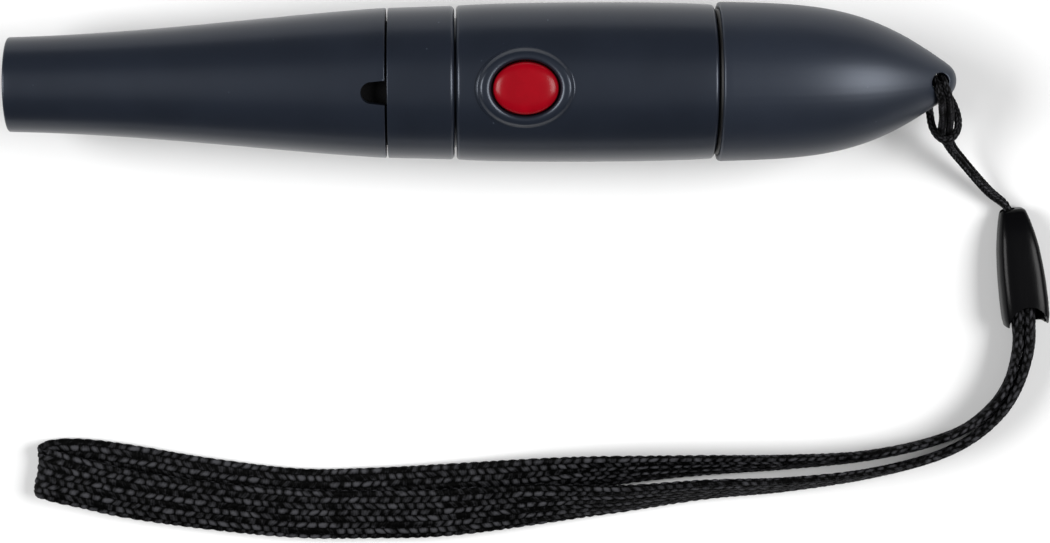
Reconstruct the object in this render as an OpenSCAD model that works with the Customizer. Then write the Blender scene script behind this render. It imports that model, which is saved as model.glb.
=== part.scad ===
// Fibre light injector: a pen-sized lamp whose hollow nose slips over a fibre plug.
// A red push button sits on its body, and a wrist lanyard hangs from its tail.
// The lamp lies along X with its mouth at -X and its button on top. Z is up, and the lowest
// line of the body rests on z = 0. Stations are counted from the mouth towards the tail.

/* [Nose] */
// Length of the nose
nose_len = 52.6; // [51:0.2:58]
// Outer radius at the mouth
nose_tip_r = 6.6; // [6.3:0.1:7.2]
// Wall at the rear edge, outside the collar's spigot
nose_wall = 1.77; // [1.65:0.01:1.85]
// Radius of the mouth's bore
mouth_r = 5.4; // [4.8:0.1:5.8]
// Length of the mouth's bore
mouth_len = 10; // [7:0.5:14]
// Inner radius of the hollow next to the lens
nose_throat_r = 7.6; // [7:0.1:8]
// Width of the release notch in the rear edge
notch_w = 3.64; // [3:0.02:4.2]
// Length of the release notch
notch_len = 3.3; // [2.8:0.1:4]

/* [Collar] */
// Length of the visible ring
collar_len = 9.2; // [8.4:0.1:11]
// Growth of the ring's radius from the nose to the body
collar_flare = 0.24; // [0.16:0.02:0.28]
// Wall of the spigot that carries the nose
spigot_wall = 1.3; // [1.2:0.05:1.4]
// Length of the spigot that carries the nose
spigot_len = 9.9; // [9:0.1:11]
// Gap between the collar's bore and the edges of the driver board
board_play = 0.3; // [0.2:0.05:0.4]
// Length of the spigot that plugs into the body
plug_len = 3.3; // [3:0.1:3.4]

/* [Body] */
// Length of the body shell
body_len = 35.7; // [35:0.1:38]
// Largest outer radius, half way along
body_r = 11.08; // [11:0.02:11.4]
// Outer radius at both ends
body_end_r = 10.72; // [10.7:0.01:10.9]
// Inner radius of the shell
body_bore_r = 9; // [8.9:0.05:9.2]

/* [Button] */
// Distance of the button's centre behind the body's front edge
button_back = 9.4; // [9.1:0.1:10]
// Length of the button along the body
button_len = 8.7; // [8:0.1:9.2]
// Width of the button across the body
button_w = 7.06; // [6.4:0.02:7.4]
// Height of the button's top above the axis
button_top = 11.95; // [11.6:0.05:12.4]
// Travel of the button and of the switch plunger
button_travel = 0.8; // [0.5:0.05:0.9]
// Gap round the button in its hole
button_gap = 0.33; // [0.2:0.01:0.4]
// Height of the rim above the body
rim_lift = 0.55; // [0.3:0.05:0.8]

/* [Tail cap] */
// Length of the solid tip behind the contact cup
tip_solid = 5.33; // [5.3:0.01:6]
// Outer radius at the cap's front edge
cap_r = 11.07; // [11:0.01:11.2]
// Radius of the rounded tip
cap_tip_r = 2.8; // [2.6:0.1:3]
// Radius of the lanyard hole
hole_r = 1.3; // [1.15:0.05:1.4]
// Distance of the lanyard hole's centre from the end of the tip
hole_inset = 2.7; // [2.6:0.05:3]

/* [Neck, thread and seals] */
// Length of the neck that carries the thread
neck_len = 10.9; // [10.6:0.1:12]
// Radius of the thread's core
thread_core_r = 8; // [7.9:0.05:8.1]
// Radius of the thread's crests
thread_crest_r = 8.7; // [8.6:0.02:8.76]
// Advance of the cap in one turn
thread_pitch = 2; // [1.8:0.1:2]
// Turns of thread on the neck and in the cap
thread_turns = 3; // [2:1:3]
// Clearance between the two threads, measured on the radius
thread_gap = 0.15; // [0.12:0.01:0.2]
// Thickness of the seal ring on the neck
neck_seal_d = 1.5; // [1.3:0.05:1.6]
// Thickness of the seal ring on the nose's spigot
nose_seal_d = 0.9; // [0.8:0.05:0.95]
// Gap between the body and the cap
cap_gap = 0.6; // [0.5:0.05:0.8]
// Gap at the two front joints
joint_gap = 0.3; // [0.2:0.05:0.4]

/* [Lamp] */
// Thickness of the front lens
lens_t = 2.4; // [2.2:0.1:2.6]
// Radius of the lamp's dome and body
led_r = 2.5; // [2.3:0.1:2.6]
// Length of the lamp from its dome to its flange
led_len = 7.2; // [7:0.1:7.8]

/* [Board and switch] */
// Thickness of the driver board
board_t = 1.6; // [1.4:0.1:1.8]
// Width of the driver board
board_w = 14; // [13.4:0.1:14]
// Length and width of the switch
switch_w = 6; // [5.6:0.1:6.2]
// Height of the switch body above the board
switch_h = 3.6; // [3.4:0.1:3.8]
// Radius of the switch plunger
plunger_r = 1.75; // [1.5:0.05:1.9]

/* [Battery] */
// Radius of the cell, size AAA
cell_r = 5.25; // [5.1:0.05:5.25]
// Length of the cell with its terminal
cell_len = 44.5; // [43.8:0.1:44.5]
// Play round the cell in its tube
cell_gap = 0.35; // [0.3:0.05:0.4]
// Length of the contact spring with the cap screwed home
spring_len = 5; // [4.9:0.1:5.2]
// Radius of the spring's coil at the middle of its wire
spring_r = 3; // [2.8:0.05:3.2]
// Thickness of the spring's wire
spring_wire = 0.6; // [0.5:0.05:0.65]
// Turns of the spring
spring_turns = 4; // [3:1:4]

/* [Lanyard] */
// Diameter of the thin cord
cord_d = 1; // [0.8:0.05:1]
// Thickness of the flat strap
strap_t = 1.4; // [1.2:0.05:1.45]
// Length of the cord barrel
barrel_len = 16.7; // [16:0.1:17.4]
// Greatest width of the cord barrel
barrel_w = 6.6; // [6.4:0.1:7]
// Greatest height of the cord barrel
barrel_h = 5.9; // [5.8:0.1:6.2]
// Wall of the cord barrel
barrel_wall = 0.55; // [0.45:0.05:0.6]

/* [Hidden] */
$fn = 64;

// Colours
shell_col = "#2b323d";
red_col = "#a5101d";
steel_col = "#b9bcc0";
brass_col = "#c9a14a";
board_col = "#1f6b3f";
black_col = "#16171a";
clear_col = "#e6eef2";
white_col = "#e8e8e4";

// One overrun for every cut, and the fits
over = 1;
slide_gap = 0.05;
press_gap = 0.03;
touch_gap = 0.02;

// Stations along the lamp, counted from the mouth
collar_s0 = nose_len + joint_gap;
collar_s1 = collar_s0 + collar_len;
body_s0 = collar_s1 + joint_gap;
body_s1 = body_s0 + body_len;
cap_s0 = body_s1 + cap_gap;
collar_bore_r = board_w / 2 + board_play;
spigot_r = collar_bore_r + spigot_wall;
nose_rear_r = spigot_r + slide_gap + nose_wall;
collar_rear_r = nose_rear_r + collar_flare;
axis_z = max(body_r, cap_r, collar_rear_r);
spigot_s0 = collar_s0 - spigot_len;
plug_s1 = collar_s1 + plug_len;
button_s = body_s0 + button_back;
neck_s1 = body_s1 + neck_len;

// Edges and small walls of the shells
mouth_edge = 0.3;
rear_edge = 0.2;
collar_round = 0.65;
body_front_edge = 0.22;
body_rear_round = 0.5;
cap_edge_in = 0.45;
cap_edge_len = 1;
hole_mouth = 0.3;
nose_mouth_angle = 1.15;
nose_rear_angle = 3.4;
nose_front_share = 0.36;
nose_rear_share = 0.29;
spigot_end_gap = 0.4;
spigot_lead = 0.3;
lens_lip_t = 0.4;
lens_lip_in = 0.6;
notch_roll = 3.4;
notch_floor_r = 7.8;

// Curve of the tail: where the two handles stand, as shares of its length
cap_front_share = 0.465;
cap_rear_share = 0.341;
cap_front_angle = 1.15;
cap_tip_angle = 54;

// Rim round the button: its ellipses, as half lengths and half widths outside the hole
hole_a = button_len / 2 + button_gap;
hole_b = button_w / 2 + button_gap;
rim_foot = [2.15, 1.75];
rim_flank = [1.75, 1.5];
rim_shoulder = [1.5, 1.32];
rim_crest = [1.25, 1.12];
rim_inner = [0.72, 0.72];
rim_lip = [0.6, 0.6];
rim_cut = [1, 0.9];
seat_land = 1.6;
rim_sides = 72;

// Button, its flange and its stem
button_round = 1;
button_crown = 0.2;
button_sides = 64;
flange_out = 0.6;
flange_t = 0.8;
flange_gap = 0.18;
stem_r = 1.5;
seat_z = 7.9;
flange_z = seat_z - touch_gap - flange_t;

// Lamp holder and lamp
lens_r = collar_bore_r - press_gap;
lens_crown = 0.8;
lens_s0 = spigot_s0 + lens_lip_t + touch_gap;
holder_s0 = lens_s0 + lens_t + touch_gap;
holder_r = collar_bore_r - press_gap;
holder_rim = 0.8;
reflector_len = 4.2;
led_brim = 0.4;
led_flange_r = led_r + led_brim;
led_flange_t = 1;
led_seat_gap = 0.05;
led_stand = 0.6;
led_s0 = holder_s0 + led_stand;
led_s1 = led_s0 + led_len;
led_pocket_r = led_flange_r + led_seat_gap;
holder_back = 5;
holder_s1 = led_s1 + led_flange_t + holder_back;
grip_len = 2.5;
lead_w = 0.5;
lead_reach = 5;

// Board and what it carries
board_s0 = holder_s1 - grip_len;
board_edge = 0.2;
board_s1 = button_s + switch_w / 2 + board_edge;
board_top = board_t / 2;
chip_size = [4.9, 3.9, 1.5];
chip_share = 0.4;
chip_leg = [0.4, 1, 0.2];
chip_pitch = 1.27;
chip_legs = 4;
inductor_r = 2.9;
inductor_h = 2.8;
inductor_core_r = 1.9;
inductor_base = 0.5;
inductor_share = 0.45;
capacitor_size = [3.2, 1.6, 1.4];
capacitor_cap = 0.5;
capacitor_y = 4.6;
capacitor_share = 0.4;

// Switch: base, dome, cover and terminals
cover_t = 0.3;
cover_gap = 0.12;
switch_floor = 0.8;
switch_cavity_r = 2.6;
dome_r = 2.4;
dome_t = 0.12;
dome_rise = 0.9;
plunger_flange_r = 2.3;
plunger_flange_t = 0.8;
plunger_nub_r = 0.8;
plunger_nub = 0.9;
switch_base_z = board_top;
cover_z = switch_base_z + switch_h;
plunger_stand = 0.48;
plunger_z1 = flange_z - plunger_stand;
terminal = [0.8, 1.4, 0.3];
terminal_x = 2.1;

// Battery tube, contacts and strip
tube_r = 7.2;
tube_front_ring_len = 2;
tube_front_ring_back = 4;
tube_flange_len = 4;
bulkhead_t = 1.2;
bulkhead_r = 7.6;
bulkhead_gap = 0.3;
bulkhead_s0 = board_s1 + bulkhead_gap;
bulkhead_s1 = bulkhead_s0 + bulkhead_t;
contact_t = 0.3;
contact_r = 4.4;
contact_tab_w = 2;
contact_tab_y = 3.2;
contact_tab_len = 3;
contact_slot_gap = 0.1;
cell_s0 = bulkhead_s1 + contact_t + touch_gap;
cell_s1 = cell_s0 + cell_len;
terminal_r = 2.75;
terminal_len = 0.8;
cell_round = 0.5;
cell_bore_r = cell_r + cell_gap;
cheek_y = 5.6;
cheek_w = 1.8;
cheek_h = 5;
cheek_len = 2.4;
strip_w = 2.6;
strip_t = 0.3;
strip_drop = 0.15;
strip_z = cell_bore_r + strip_drop;
strip_leg_back = 1.2;
strip_tab = 1.6;
strip_slot_gap = 0.1;
seal_seat_r = thread_crest_r;
thread_run_in = 3.4;
thread_s0 = body_s1 + thread_run_in;
ridge_base_share = 0.45;
ridge_crest_share = 0.25;
thread_steps = 24;
ridge_sink = 0.15;

// Tail contact cup, cap bores and spring
cup_t = 0.3;
cup_play = 0.65;
cup_r = cell_r + cup_play + cup_t;
cup_flange_r = 7.8;
cup_flange_t = 0.4;
well_r = 4;
cup_step_back = 0.2;
home_gap = 0.05;
cup_s0 = neck_s1 + strip_t + home_gap;
cup_step_s = cell_s1 + cup_step_back;
cup_s1 = cell_s1 + spring_len + cup_t;
overall_len = cup_s1 + home_gap + tip_solid;
hole_s = overall_len - hole_inset;
cup_slide = 0.1;
spring_steps = 12;
spring_sides = 6;
seal_lip = 0.1;

// Cord, barrel and crimp on the table beside the lamp
barrel_at = [76.05, -19.15];
barrel_heading = -82.6;
barrel_shares = [
    [0, 0.5, 0.46], [0.03, 0.56, 0.53], [0.1, 0.65, 0.64], [0.2, 0.75, 0.76],
    [0.33, 0.85, 0.86], [0.55, 0.95, 0.95], [0.78, 1, 1], [0.93, 0.99, 0.99], [1, 0.92, 0.93]
];
barrel_sides = 32;
barrel_squareness = 0.62;
barrel_bore_share = 0.22;
barrel_mouth_over = 1.04;
entry_r = 1.1;
entry_y = -0.7;
entry_z = 1.45;
arch_r = 2.7;
arch_out = 0.5;
arch_z = 3.2;
crimp_len = 3.8;
crimp_w = 3.6;
crimp_h = 3.2;
crimp_z = 2.5;
crimp_share = 0.32;
crimp_groove = 0.2;
crimp_round = 0.8;
crimp_grooves = 2;

// Route of the thin cord: from the crimp up through the loop and the tail's hole, round
// the loop below the tail and back the same way, as a girth hitch
cord_route = [
    [76.1, -24.6, 2], [75.7, -21.9, 2], [75.4, -19.2, 2], [72.4, -16.7, 2.4], [68, -12, 4.7],
    [66.1, -9.9, 6.2], [64.8, -7.8, 7.4], [64.4, -5.3, 10.2], [63.9, -3.7, 12.5], [63.5, -2.3, 14.3],
    [63, -1.1, 14.9], [62.8, -0.3, 14.4], [62.7, 0.1, 13.2], [62.7, 0.1, 11.1], [62.7, 0, 8.8],
    [62.7, -0.5, 7.3], [62.7, -1.7, 6.5], [62.9, -3.2, 6.5], [63.1, -4.9, 7], [63.3, -6.5, 7.6],
    [64, -7.9, 8.3], [65.2, -8.6, 8.6], [66.3, -8, 8.4], [67, -6.6, 7.7], [66.8, -4.7, 7],
    [66, -2.9, 6.6], [64.8, -1.6, 6.5], [63.9, -0.6, 7.2], [63.8, -0.1, 8.6], [63.8, 0.1, 11.1],
    [63.8, 0.1, 13.2], [63.9, -0.3, 14.2], [64.2, -1.1, 14.6], [64.6, -2.2, 13.8], [65, -3.5, 12.3],
    [65.5, -5.3, 10], [65.9, -7.6, 7], [66.6, -9.5, 5.1], [68.3, -11.6, 3.6], [72.7, -16.4, 1.4],
    [75.4, -19, 0.95], [75.7, -21.9, 0.9], [76.1, -24.6, 0.9]
];
cord_sides = 8;

// Route of the strap: place, lean of its width from flat, and width at each point.
// The near run goes from the barrel to the fold, and the far run comes back below it.
strap_near = [
    [77.8, -28.2, 2.7, 90, 3.9], [78.2, -31.6, 2.8, 86, 4.1], [78.6, -35.4, 2.8, 82, 4.2],
    [78.7, -38.4, 3, 80, 4.5], [78.2, -41.6, 3, 78, 4.9], [77, -45.2, 3, 76, 5.3],
    [75, -48.5, 3, 76, 5.6], [71.1, -52.1, 3.1, 76, 5.8], [66, -54.8, 3.1, 76, 6],
    [56.2, -57.4, 3.2, 74, 6.2], [44, -59, 3.3, 66, 6.5], [32, -59.7, 3.4, 58, 6.8],
    [20, -61, 3.3, 48, 7.2], [13.5, -61.4, 3.2, 38, 7.4], [7, -61.9, 3, 27, 7.6],
    [-6.5, -63.1, 2.8, 12, 7.6], [-16.7, -63.3, 2.6, 10, 7.6], [-26.6, -63.2, 2.6, 10, 7.6],
    [-40.5, -61.8, 2.6, 10, 7.6], [-52.4, -59.9, 2.7, 8, 7.6], [-57.6, -58.6, 2.8, 6, 7.6]
];
strap_fold = [
    [-60.8, -57.8, 2.9, 2, 7.6], [-62.8, -57.2, 2.9, 0, 7.6], [-63.7, -57, 2.5, 0, 7.6],
    [-64, -56.8, 1.9, 0, 7.6], [-63.6, -56.5, 1.3, 0, 7.6], [-62.7, -56.2, 0.9, 0, 7.6],
    [-60.7, -56, 0.8, 0, 7.6]
];
strap_far = [
    [-57.6, -56.1, 0.8, 0, 7.6], [-52.4, -56.8, 0.8, 0, 7.6], [-40.5, -58.9, 0.8, 0, 7.6],
    [-26.6, -60.6, 0.8, 0, 7.6], [-16.7, -60.5, 0.9, 2, 7.6], [-6.5, -59.9, 1.2, 6, 7.6],
    [7, -58.6, 2.1, 20, 7.6], [13.5, -57.6, 2.7, 34, 7.4], [20, -56.8, 3.2, 47, 7.2],
    [32, -56.1, 3.4, 58, 6.8], [44, -55.7, 3.3, 66, 6.5], [55.7, -54.8, 3.2, 74, 6.2],
    [65, -52.8, 3.1, 76, 6], [70, -50.7, 3.1, 76, 5.8], [73.9, -47.3, 3, 76, 5.6],
    [75.8, -44.2, 3, 76, 5.3], [76.7, -41.1, 3, 78, 4.9], [77.1, -38.1, 3, 80, 4.5],
    [77, -35.4, 2.8, 82, 4.2], [76.6, -31.7, 2.8, 86, 4.1], [76.1, -28.4, 2.7, 90, 3.9]
];
strap_fold_heading = 78;

// Curves and rows of points
function bezier(a, b, c, d, n) = [
    for (i = [0:n]) let (t = i / n, u = 1 - t)
        u * u * u * a + 3 * u * u * t * b + 3 * u * t * t * c + t * t * t * d
];
function arc(centre, r, from, to, n) = [
    for (i = [0:n]) let (a = from + (to - from) * i / n) centre + r * [cos(a), sin(a)]
];
function unit(v) = v / norm(v);

// Faces of a skin over rings of points with the same count, and of its two flat ends
function skin(rings, sides, wrap) = [
    for (i = [0:(wrap ? rings - 1 : rings - 2)], j = [0:sides - 1], half = [0, 1])
        let (k = (i + 1) % rings, m = (j + 1) % sides)
            half == 0 ? [i * sides + j, k * sides + j, k * sides + m]
                      : [i * sides + j, k * sides + m, i * sides + m]
];
function ends(rings, sides) = [
    [for (j = [0:sides - 1]) j],
    [for (j = [0:sides - 1]) rings * sides - 1 - j]
];

// Skin over open rows of rings
module lofted(rings) {
    sides = len(rings[0]);
    polyhedron(
        [for (ring = rings, p = ring) p],
        concat(skin(len(rings), sides, false), ends(len(rings), sides))
    );
}

// Skin over rings that close on themselves
module lofted_ring(rings) {
    sides = len(rings[0]);
    polyhedron([for (ring = rings, p = ring) p], skin(len(rings), sides, true));
}

// Places: at() counts x from the mouth and z from the axis, and turned() revolves an
// outline of radius and station about the axis
module at(s, y = 0, z = 0) {
    translate([s - overall_len / 2, y, axis_z + z]) children();
}
module turned(outline) {
    at(0) rotate([0, 90, 0]) rotate_extrude() polygon(outline);
}
module slab(s0, s1, y0, y1, z0, z1) {
    at(s0, y0, z0) cube([s1 - s0, y1 - y0, z1 - z0]);
}
module oval(a, b, z0, z1) {
    at(button_s, 0, z0) scale([a / b, 1, 1]) cylinder(r = b, h = z1 - z0);
}

// Nose and the release notch
function nose_outline() = concat(
    arc([nose_tip_r - mouth_edge, mouth_edge], mouth_edge, -90, 0, 4),
    bezier(
        [nose_tip_r, mouth_edge],
        [nose_tip_r + tan(nose_mouth_angle) * nose_front_share * nose_len, nose_front_share * nose_len],
        [
            nose_rear_r - tan(nose_rear_angle) * nose_rear_share * nose_len,
            (1 - nose_rear_share) * nose_len
        ],
        [nose_rear_r, nose_len - rear_edge],
        24
    ),
    arc([nose_rear_r - rear_edge, nose_len - rear_edge], rear_edge, 0, 90, 4)
);
nose_seat_s = spigot_s0 - spigot_end_gap;
module release_notch(r0, s1) {
    s0 = nose_len - notch_len + notch_w / 2;
    at(0) rotate([notch_roll, 0, 0]) translate([s0, 0, r0]) {
        cylinder(r = notch_w / 2, h = nose_rear_r);
        translate([0, -notch_w / 2, 0]) cube([s1 - s0, notch_w, nose_rear_r]);
    }
}
module nose() {
    inside = [
        [spigot_r + slide_gap, nose_len],
        [spigot_r + slide_gap, nose_seat_s],
        [nose_throat_r, nose_seat_s],
        [mouth_r, mouth_len],
        [mouth_r, rear_edge],
        [mouth_r + rear_edge, 0]
    ];
    color(shell_col) difference() {
        turned(concat(nose_outline(), inside));
        release_notch(notch_floor_r, nose_len + over);
    }
}

// Collar: the ring, the nose's spigot with its seal groove and the plug into the body
groove_s = spigot_s0 + spigot_len / 3;
groove_r = spigot_r + slide_gap - nose_seal_d + touch_gap;
module front_collar() {
    outline = concat(
        [
            [collar_bore_r - lens_lip_in, spigot_s0],
            [spigot_r - spigot_lead, spigot_s0],
            [spigot_r, spigot_s0 + spigot_lead],
            [spigot_r, groove_s],
            [groove_r, groove_s],
            [groove_r, groove_s + nose_seal_d],
            [spigot_r, groove_s + nose_seal_d],
            [spigot_r, collar_s0]
        ],
        arc([nose_rear_r - rear_edge, collar_s0 + rear_edge], rear_edge, -90, 0, 4),
        arc([collar_rear_r - collar_round, collar_s1 - collar_round], collar_round, 0, 90, 6),
        [
            [body_bore_r - press_gap, collar_s1],
            [body_bore_r - press_gap, plug_s1],
            [collar_bore_r, plug_s1],
            [collar_bore_r, spigot_s0 + lens_lip_t],
            [collar_bore_r - lens_lip_in, spigot_s0 + lens_lip_t]
        ]
    );
    color(shell_col) difference() {
        turned(outline);
        release_notch(notch_floor_r, collar_s0 + touch_gap);
    }
}

// Body shell with the raised rim round its button hole
function rim_loop(out, lift) = [
    for (i = [0:rim_sides - 1])
        let (a = 360 * i / rim_sides, y = (hole_b + out[1]) * sin(a))
            [(hole_a + out[0]) * cos(a), y, sqrt(pow(body_r + lift, 2) - y * y)]
];
function seat_loop(out) = [
    for (i = [0:rim_sides - 1])
        let (a = 360 * i / rim_sides)
            [(hole_a + out[0]) * cos(a), (hole_b + out[1]) * sin(a), seat_z]
];
rim_sunk = -0.45;
rim_step_share = [0.04, 0.3, 0.8, 1, 1, 0.9];
module button_rim() {
    at(button_s) lofted_ring([
        seat_loop([seat_land, seat_land]),
        rim_loop([seat_land, seat_land], 2 * rim_sunk),
        rim_loop(rim_foot, rim_sunk),
        rim_loop(rim_foot, rim_step_share[0] * rim_lift),
        rim_loop(rim_flank, rim_step_share[1] * rim_lift),
        rim_loop(rim_shoulder, rim_step_share[2] * rim_lift),
        rim_loop(rim_crest, rim_step_share[3] * rim_lift),
        rim_loop(rim_inner, rim_step_share[4] * rim_lift),
        rim_loop(rim_lip, rim_step_share[5] * rim_lift),
        rim_loop([0, 0], rim_sunk),
        seat_loop([0, 0])
    ]);
}
module main_body() {
    crown_r = body_end_r + (body_r - body_end_r) * 4 / 3;
    outline = concat(
        [[body_bore_r, body_s0], [body_end_r - 2 * body_front_edge, body_s0]],
        [[body_end_r - body_front_edge, body_s0 + body_front_edge / 2]],
        bezier(
            [body_end_r, body_s0 + 2 * body_front_edge],
            [crown_r, body_s0 + body_len / 5],
            [crown_r, body_s1 - body_len / 5],
            [body_end_r, body_s1 - body_rear_round],
            24
        ),
        arc([body_end_r - body_rear_round, body_s1 - body_rear_round], body_rear_round, 0, 90, 6),
        [[body_bore_r, body_s1]]
    );
    color(shell_col) union() {
        difference() {
            turned(outline);
            oval(hole_a + rim_cut[0], hole_b + rim_cut[1], 0, body_r + over);
        }
        button_rim();
    }
}

// Tail cap: shell, bores for the neck and the contact cup, thread and lanyard hole
function cap_outline() = let (
    tip = [0, overall_len - cap_tip_r],
    last = tip + cap_tip_r * [sin(cap_tip_angle), cos(cap_tip_angle)],
    run = last[1] - cap_s0
) concat(
    [[cap_r - cap_edge_in, cap_s0]],
    bezier(
        [cap_r, cap_s0 + cap_edge_len],
        [cap_r - tan(cap_front_angle) * cap_front_share * run, cap_s0 + cap_front_share * run],
        last - cap_rear_share * run * [-1 / tan(cap_tip_angle), 1],
        last,
        28
    ),
    arc(tip, cap_tip_r, 90 - cap_tip_angle, 90, 8)
);
thread_bore_r = thread_crest_r + thread_gap;
thread_len = thread_turns * thread_pitch;
seal_pocket_r = seal_seat_r + neck_seal_d + seal_lip;
seal_pocket_s = body_s1 + neck_seal_d + home_gap;
module ridge(root_r, crest_r, s0) {
    base = ridge_base_share * thread_pitch / 2;
    crest = ridge_crest_share * thread_pitch / 2;
    outward = sign(crest_r - root_r);
    steps = thread_steps * thread_turns;
    at(0) lofted([
        for (i = [0:steps]) let (a = 360 * i / thread_steps, s = s0 + thread_pitch * i / thread_steps)
            [
                for (p = [[root_r, base], [crest_r, crest], [crest_r, -crest], [root_r, -base]])
                    [s + outward * p[1], -p[0] * sin(a), p[0] * cos(a)]
            ]
    ]);
}
module tail_cap() {
    inside = [
        [0, cup_s1 + home_gap],
        [well_r + cup_slide, cup_s1 + home_gap],
        [well_r + cup_slide, cup_step_s + cup_t + home_gap],
        [cup_r + cup_slide, cup_step_s + cup_t + home_gap],
        [cup_r + cup_slide, cup_s0 + cup_flange_t + home_gap],
        [thread_bore_r, cup_s0 + cup_flange_t + home_gap],
        [thread_bore_r, seal_pocket_s + neck_seal_d],
        [seal_pocket_r, seal_pocket_s],
        [seal_pocket_r, cap_s0]
    ];
    color(shell_col) union() {
        difference() {
            turned(concat(cap_outline(), inside));
            at(hole_s) cylinder(r = hole_r, h = 2 * cap_r, center = true);
            for (side = [-1, 1]) at(hole_s, 0, side * (cap_tip_r - hole_mouth))
                rotate([90 - 90 * side, 0, 0])
                    cylinder(r1 = hole_r, r2 = hole_r + 4 * hole_mouth, h = 4 * hole_mouth);
        }
        ridge(thread_bore_r + ridge_sink, thread_core_r + thread_gap, thread_s0 + thread_pitch / 2);
    }
}

// Lamp holder with its reflector, lens and lamp
module lamp_holder() {
    outline = [
        [holder_r - holder_rim, holder_s0],
        [holder_r, holder_s0],
        [holder_r, holder_s1],
        [led_pocket_r, holder_s1],
        [led_pocket_r, led_s1],
        [led_r + led_seat_gap, led_s1],
        [led_r + led_seat_gap, holder_s0 + reflector_len]
    ];
    color(white_col) difference() {
        turned(outline);
        slab(
            board_s0, holder_s1 + over, -board_w / 2 - slide_gap, board_w / 2 + slide_gap,
            -board_top - touch_gap, board_top + touch_gap
        );
    }
}
module collimator_lens() {
    color(clear_col) turned(concat(
        [[0, lens_s0 + lens_t], [lens_r, lens_s0 + lens_t], [lens_r, lens_s0]],
        [
            for (i = [0:8]) let (q = 1 - i / 8)
                [(collar_bore_r - 2 * lens_lip_in) * q, lens_s0 - lens_crown * (1 - q * q)]
        ]
    ));
}
module led() {
    outline = concat(
        arc([0, led_s0 + led_r], led_r, -90, 0, 10),
        [
            [led_r, led_s1],
            [led_flange_r, led_s1],
            [led_flange_r, led_s1 + led_flange_t],
            [0, led_s1 + led_flange_t]
        ]
    );
    color(clear_col) turned(outline);
}
module led_leads() {
    s0 = led_s1 + led_flange_t;
    color(steel_col) for (z0 = [board_top, -board_top - lead_w])
        slab(s0, s0 + lead_reach, -lead_w / 2, lead_w / 2, z0, z0 + lead_w);
}
module seal_ring(r, s, d) {
    at(s) rotate([0, 90, 0]) rotate_extrude() translate([r + d / 2, 0]) circle(d = d);
}
module nose_seal() {
    d = nose_seal_d - 2 * touch_gap;
    color(black_col) seal_ring(groove_r + touch_gap / 2, groove_s + nose_seal_d / 2, d);
}
module neck_seal() {
    color(black_col) seal_ring(seal_seat_r, body_s1 + neck_seal_d / 2, neck_seal_d);
}

// Driver board with its parts
function board_spot(share) = board_s0 + share * (board_s1 - board_s0);
module driver_board() {
    color(board_col) slab(board_s0, board_s1, -board_w / 2, board_w / 2, -board_top, board_top);
}
module driver_chip() {
    s = board_spot(chip_share);
    color(black_col) at(s, 0, board_top + chip_leg[2]) translate([-chip_size[0] / 2, -chip_size[1] / 2, 0])
        cube(chip_size);
    color(steel_col) for (side = [-1, 1], i = [0:chip_legs - 1])
        at(
            s + (i - (chip_legs - 1) / 2) * chip_pitch - chip_leg[0] / 2,
            side * chip_size[1] / 2 - chip_leg[1] / 2,
            board_top
        ) cube([chip_leg[0], chip_leg[1], chip_leg[2]]);
}
module boost_inductor() {
    color(black_col) at(board_spot(inductor_share), 0, -board_top - inductor_h) {
        cylinder(r = inductor_r, h = inductor_base);
        cylinder(r = inductor_core_r, h = inductor_h);
        translate([0, 0, inductor_h - inductor_base]) cylinder(r = inductor_r, h = inductor_base);
    }
}
module board_capacitors() {
    color("#b08a5a") for (side = [-1, 1])
        at(board_spot(capacitor_share), side * capacitor_y, board_top)
            translate([-capacitor_size[0] / 2, -capacitor_size[1] / 2, 0]) {
                cube([capacitor_cap, capacitor_size[1], capacitor_size[2]]);
                translate([capacitor_cap, capacitor_cap / 8, 0]) cube([
                    capacitor_size[0] - 2 * capacitor_cap,
                    capacitor_size[1] - capacitor_cap / 4,
                    capacitor_size[2] - capacitor_cap / 8
                ]);
                translate([capacitor_size[0] - capacitor_cap, 0, 0])
                    cube([capacitor_cap, capacitor_size[1], capacitor_size[2]]);
            }
}

// Push switch under the button
module switch_base() {
    half = switch_w / 2;
    color(black_col) difference() {
        slab(button_s - half, button_s + half, -half, half, switch_base_z, cover_z);
        at(button_s, 0, switch_base_z + switch_floor) cylinder(r = switch_cavity_r, h = switch_h);
    }
}
module switch_dome() {
    z0 = switch_base_z + switch_floor;
    rise = [for (i = [0:6]) let (q = i / 6) [dome_r * q, dome_rise * (1 - q * q)]];
    color(steel_col) at(button_s, 0, z0) rotate_extrude()
        polygon(concat(rise, [for (i = [6:-1:0]) rise[i] + [0, dome_t]]));
}
module switch_cover() {
    half = switch_w / 2;
    color(steel_col) difference() {
        slab(button_s - half, button_s + half, -half, half, cover_z, cover_z + cover_t);
        at(button_s, 0, cover_z - over) cylinder(r = plunger_r + cover_gap, h = cover_t + 2 * over);
    }
}
module switch_terminals() {
    color(steel_col) for (sx = [-1, 1], sy = [-1, 1])
        at(
            button_s + sx * terminal_x - terminal[0] / 2,
            sy * (switch_w + terminal[1]) / 2 - terminal[1] / 2,
            board_top
        ) cube(terminal);
}
module switch_plunger() {
    top = cover_z - touch_gap;
    color(black_col) at(button_s) {
        translate([0, 0, top - plunger_flange_t]) cylinder(r = plunger_flange_r, h = plunger_flange_t);
        translate([0, 0, top - plunger_flange_t - plunger_nub]) cylinder(r = plunger_nub_r, h = plunger_nub + over / 2);
        translate([0, 0, top - plunger_flange_t]) cylinder(r = plunger_r, h = plunger_z1 - top + plunger_flange_t);
    }
}

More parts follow.
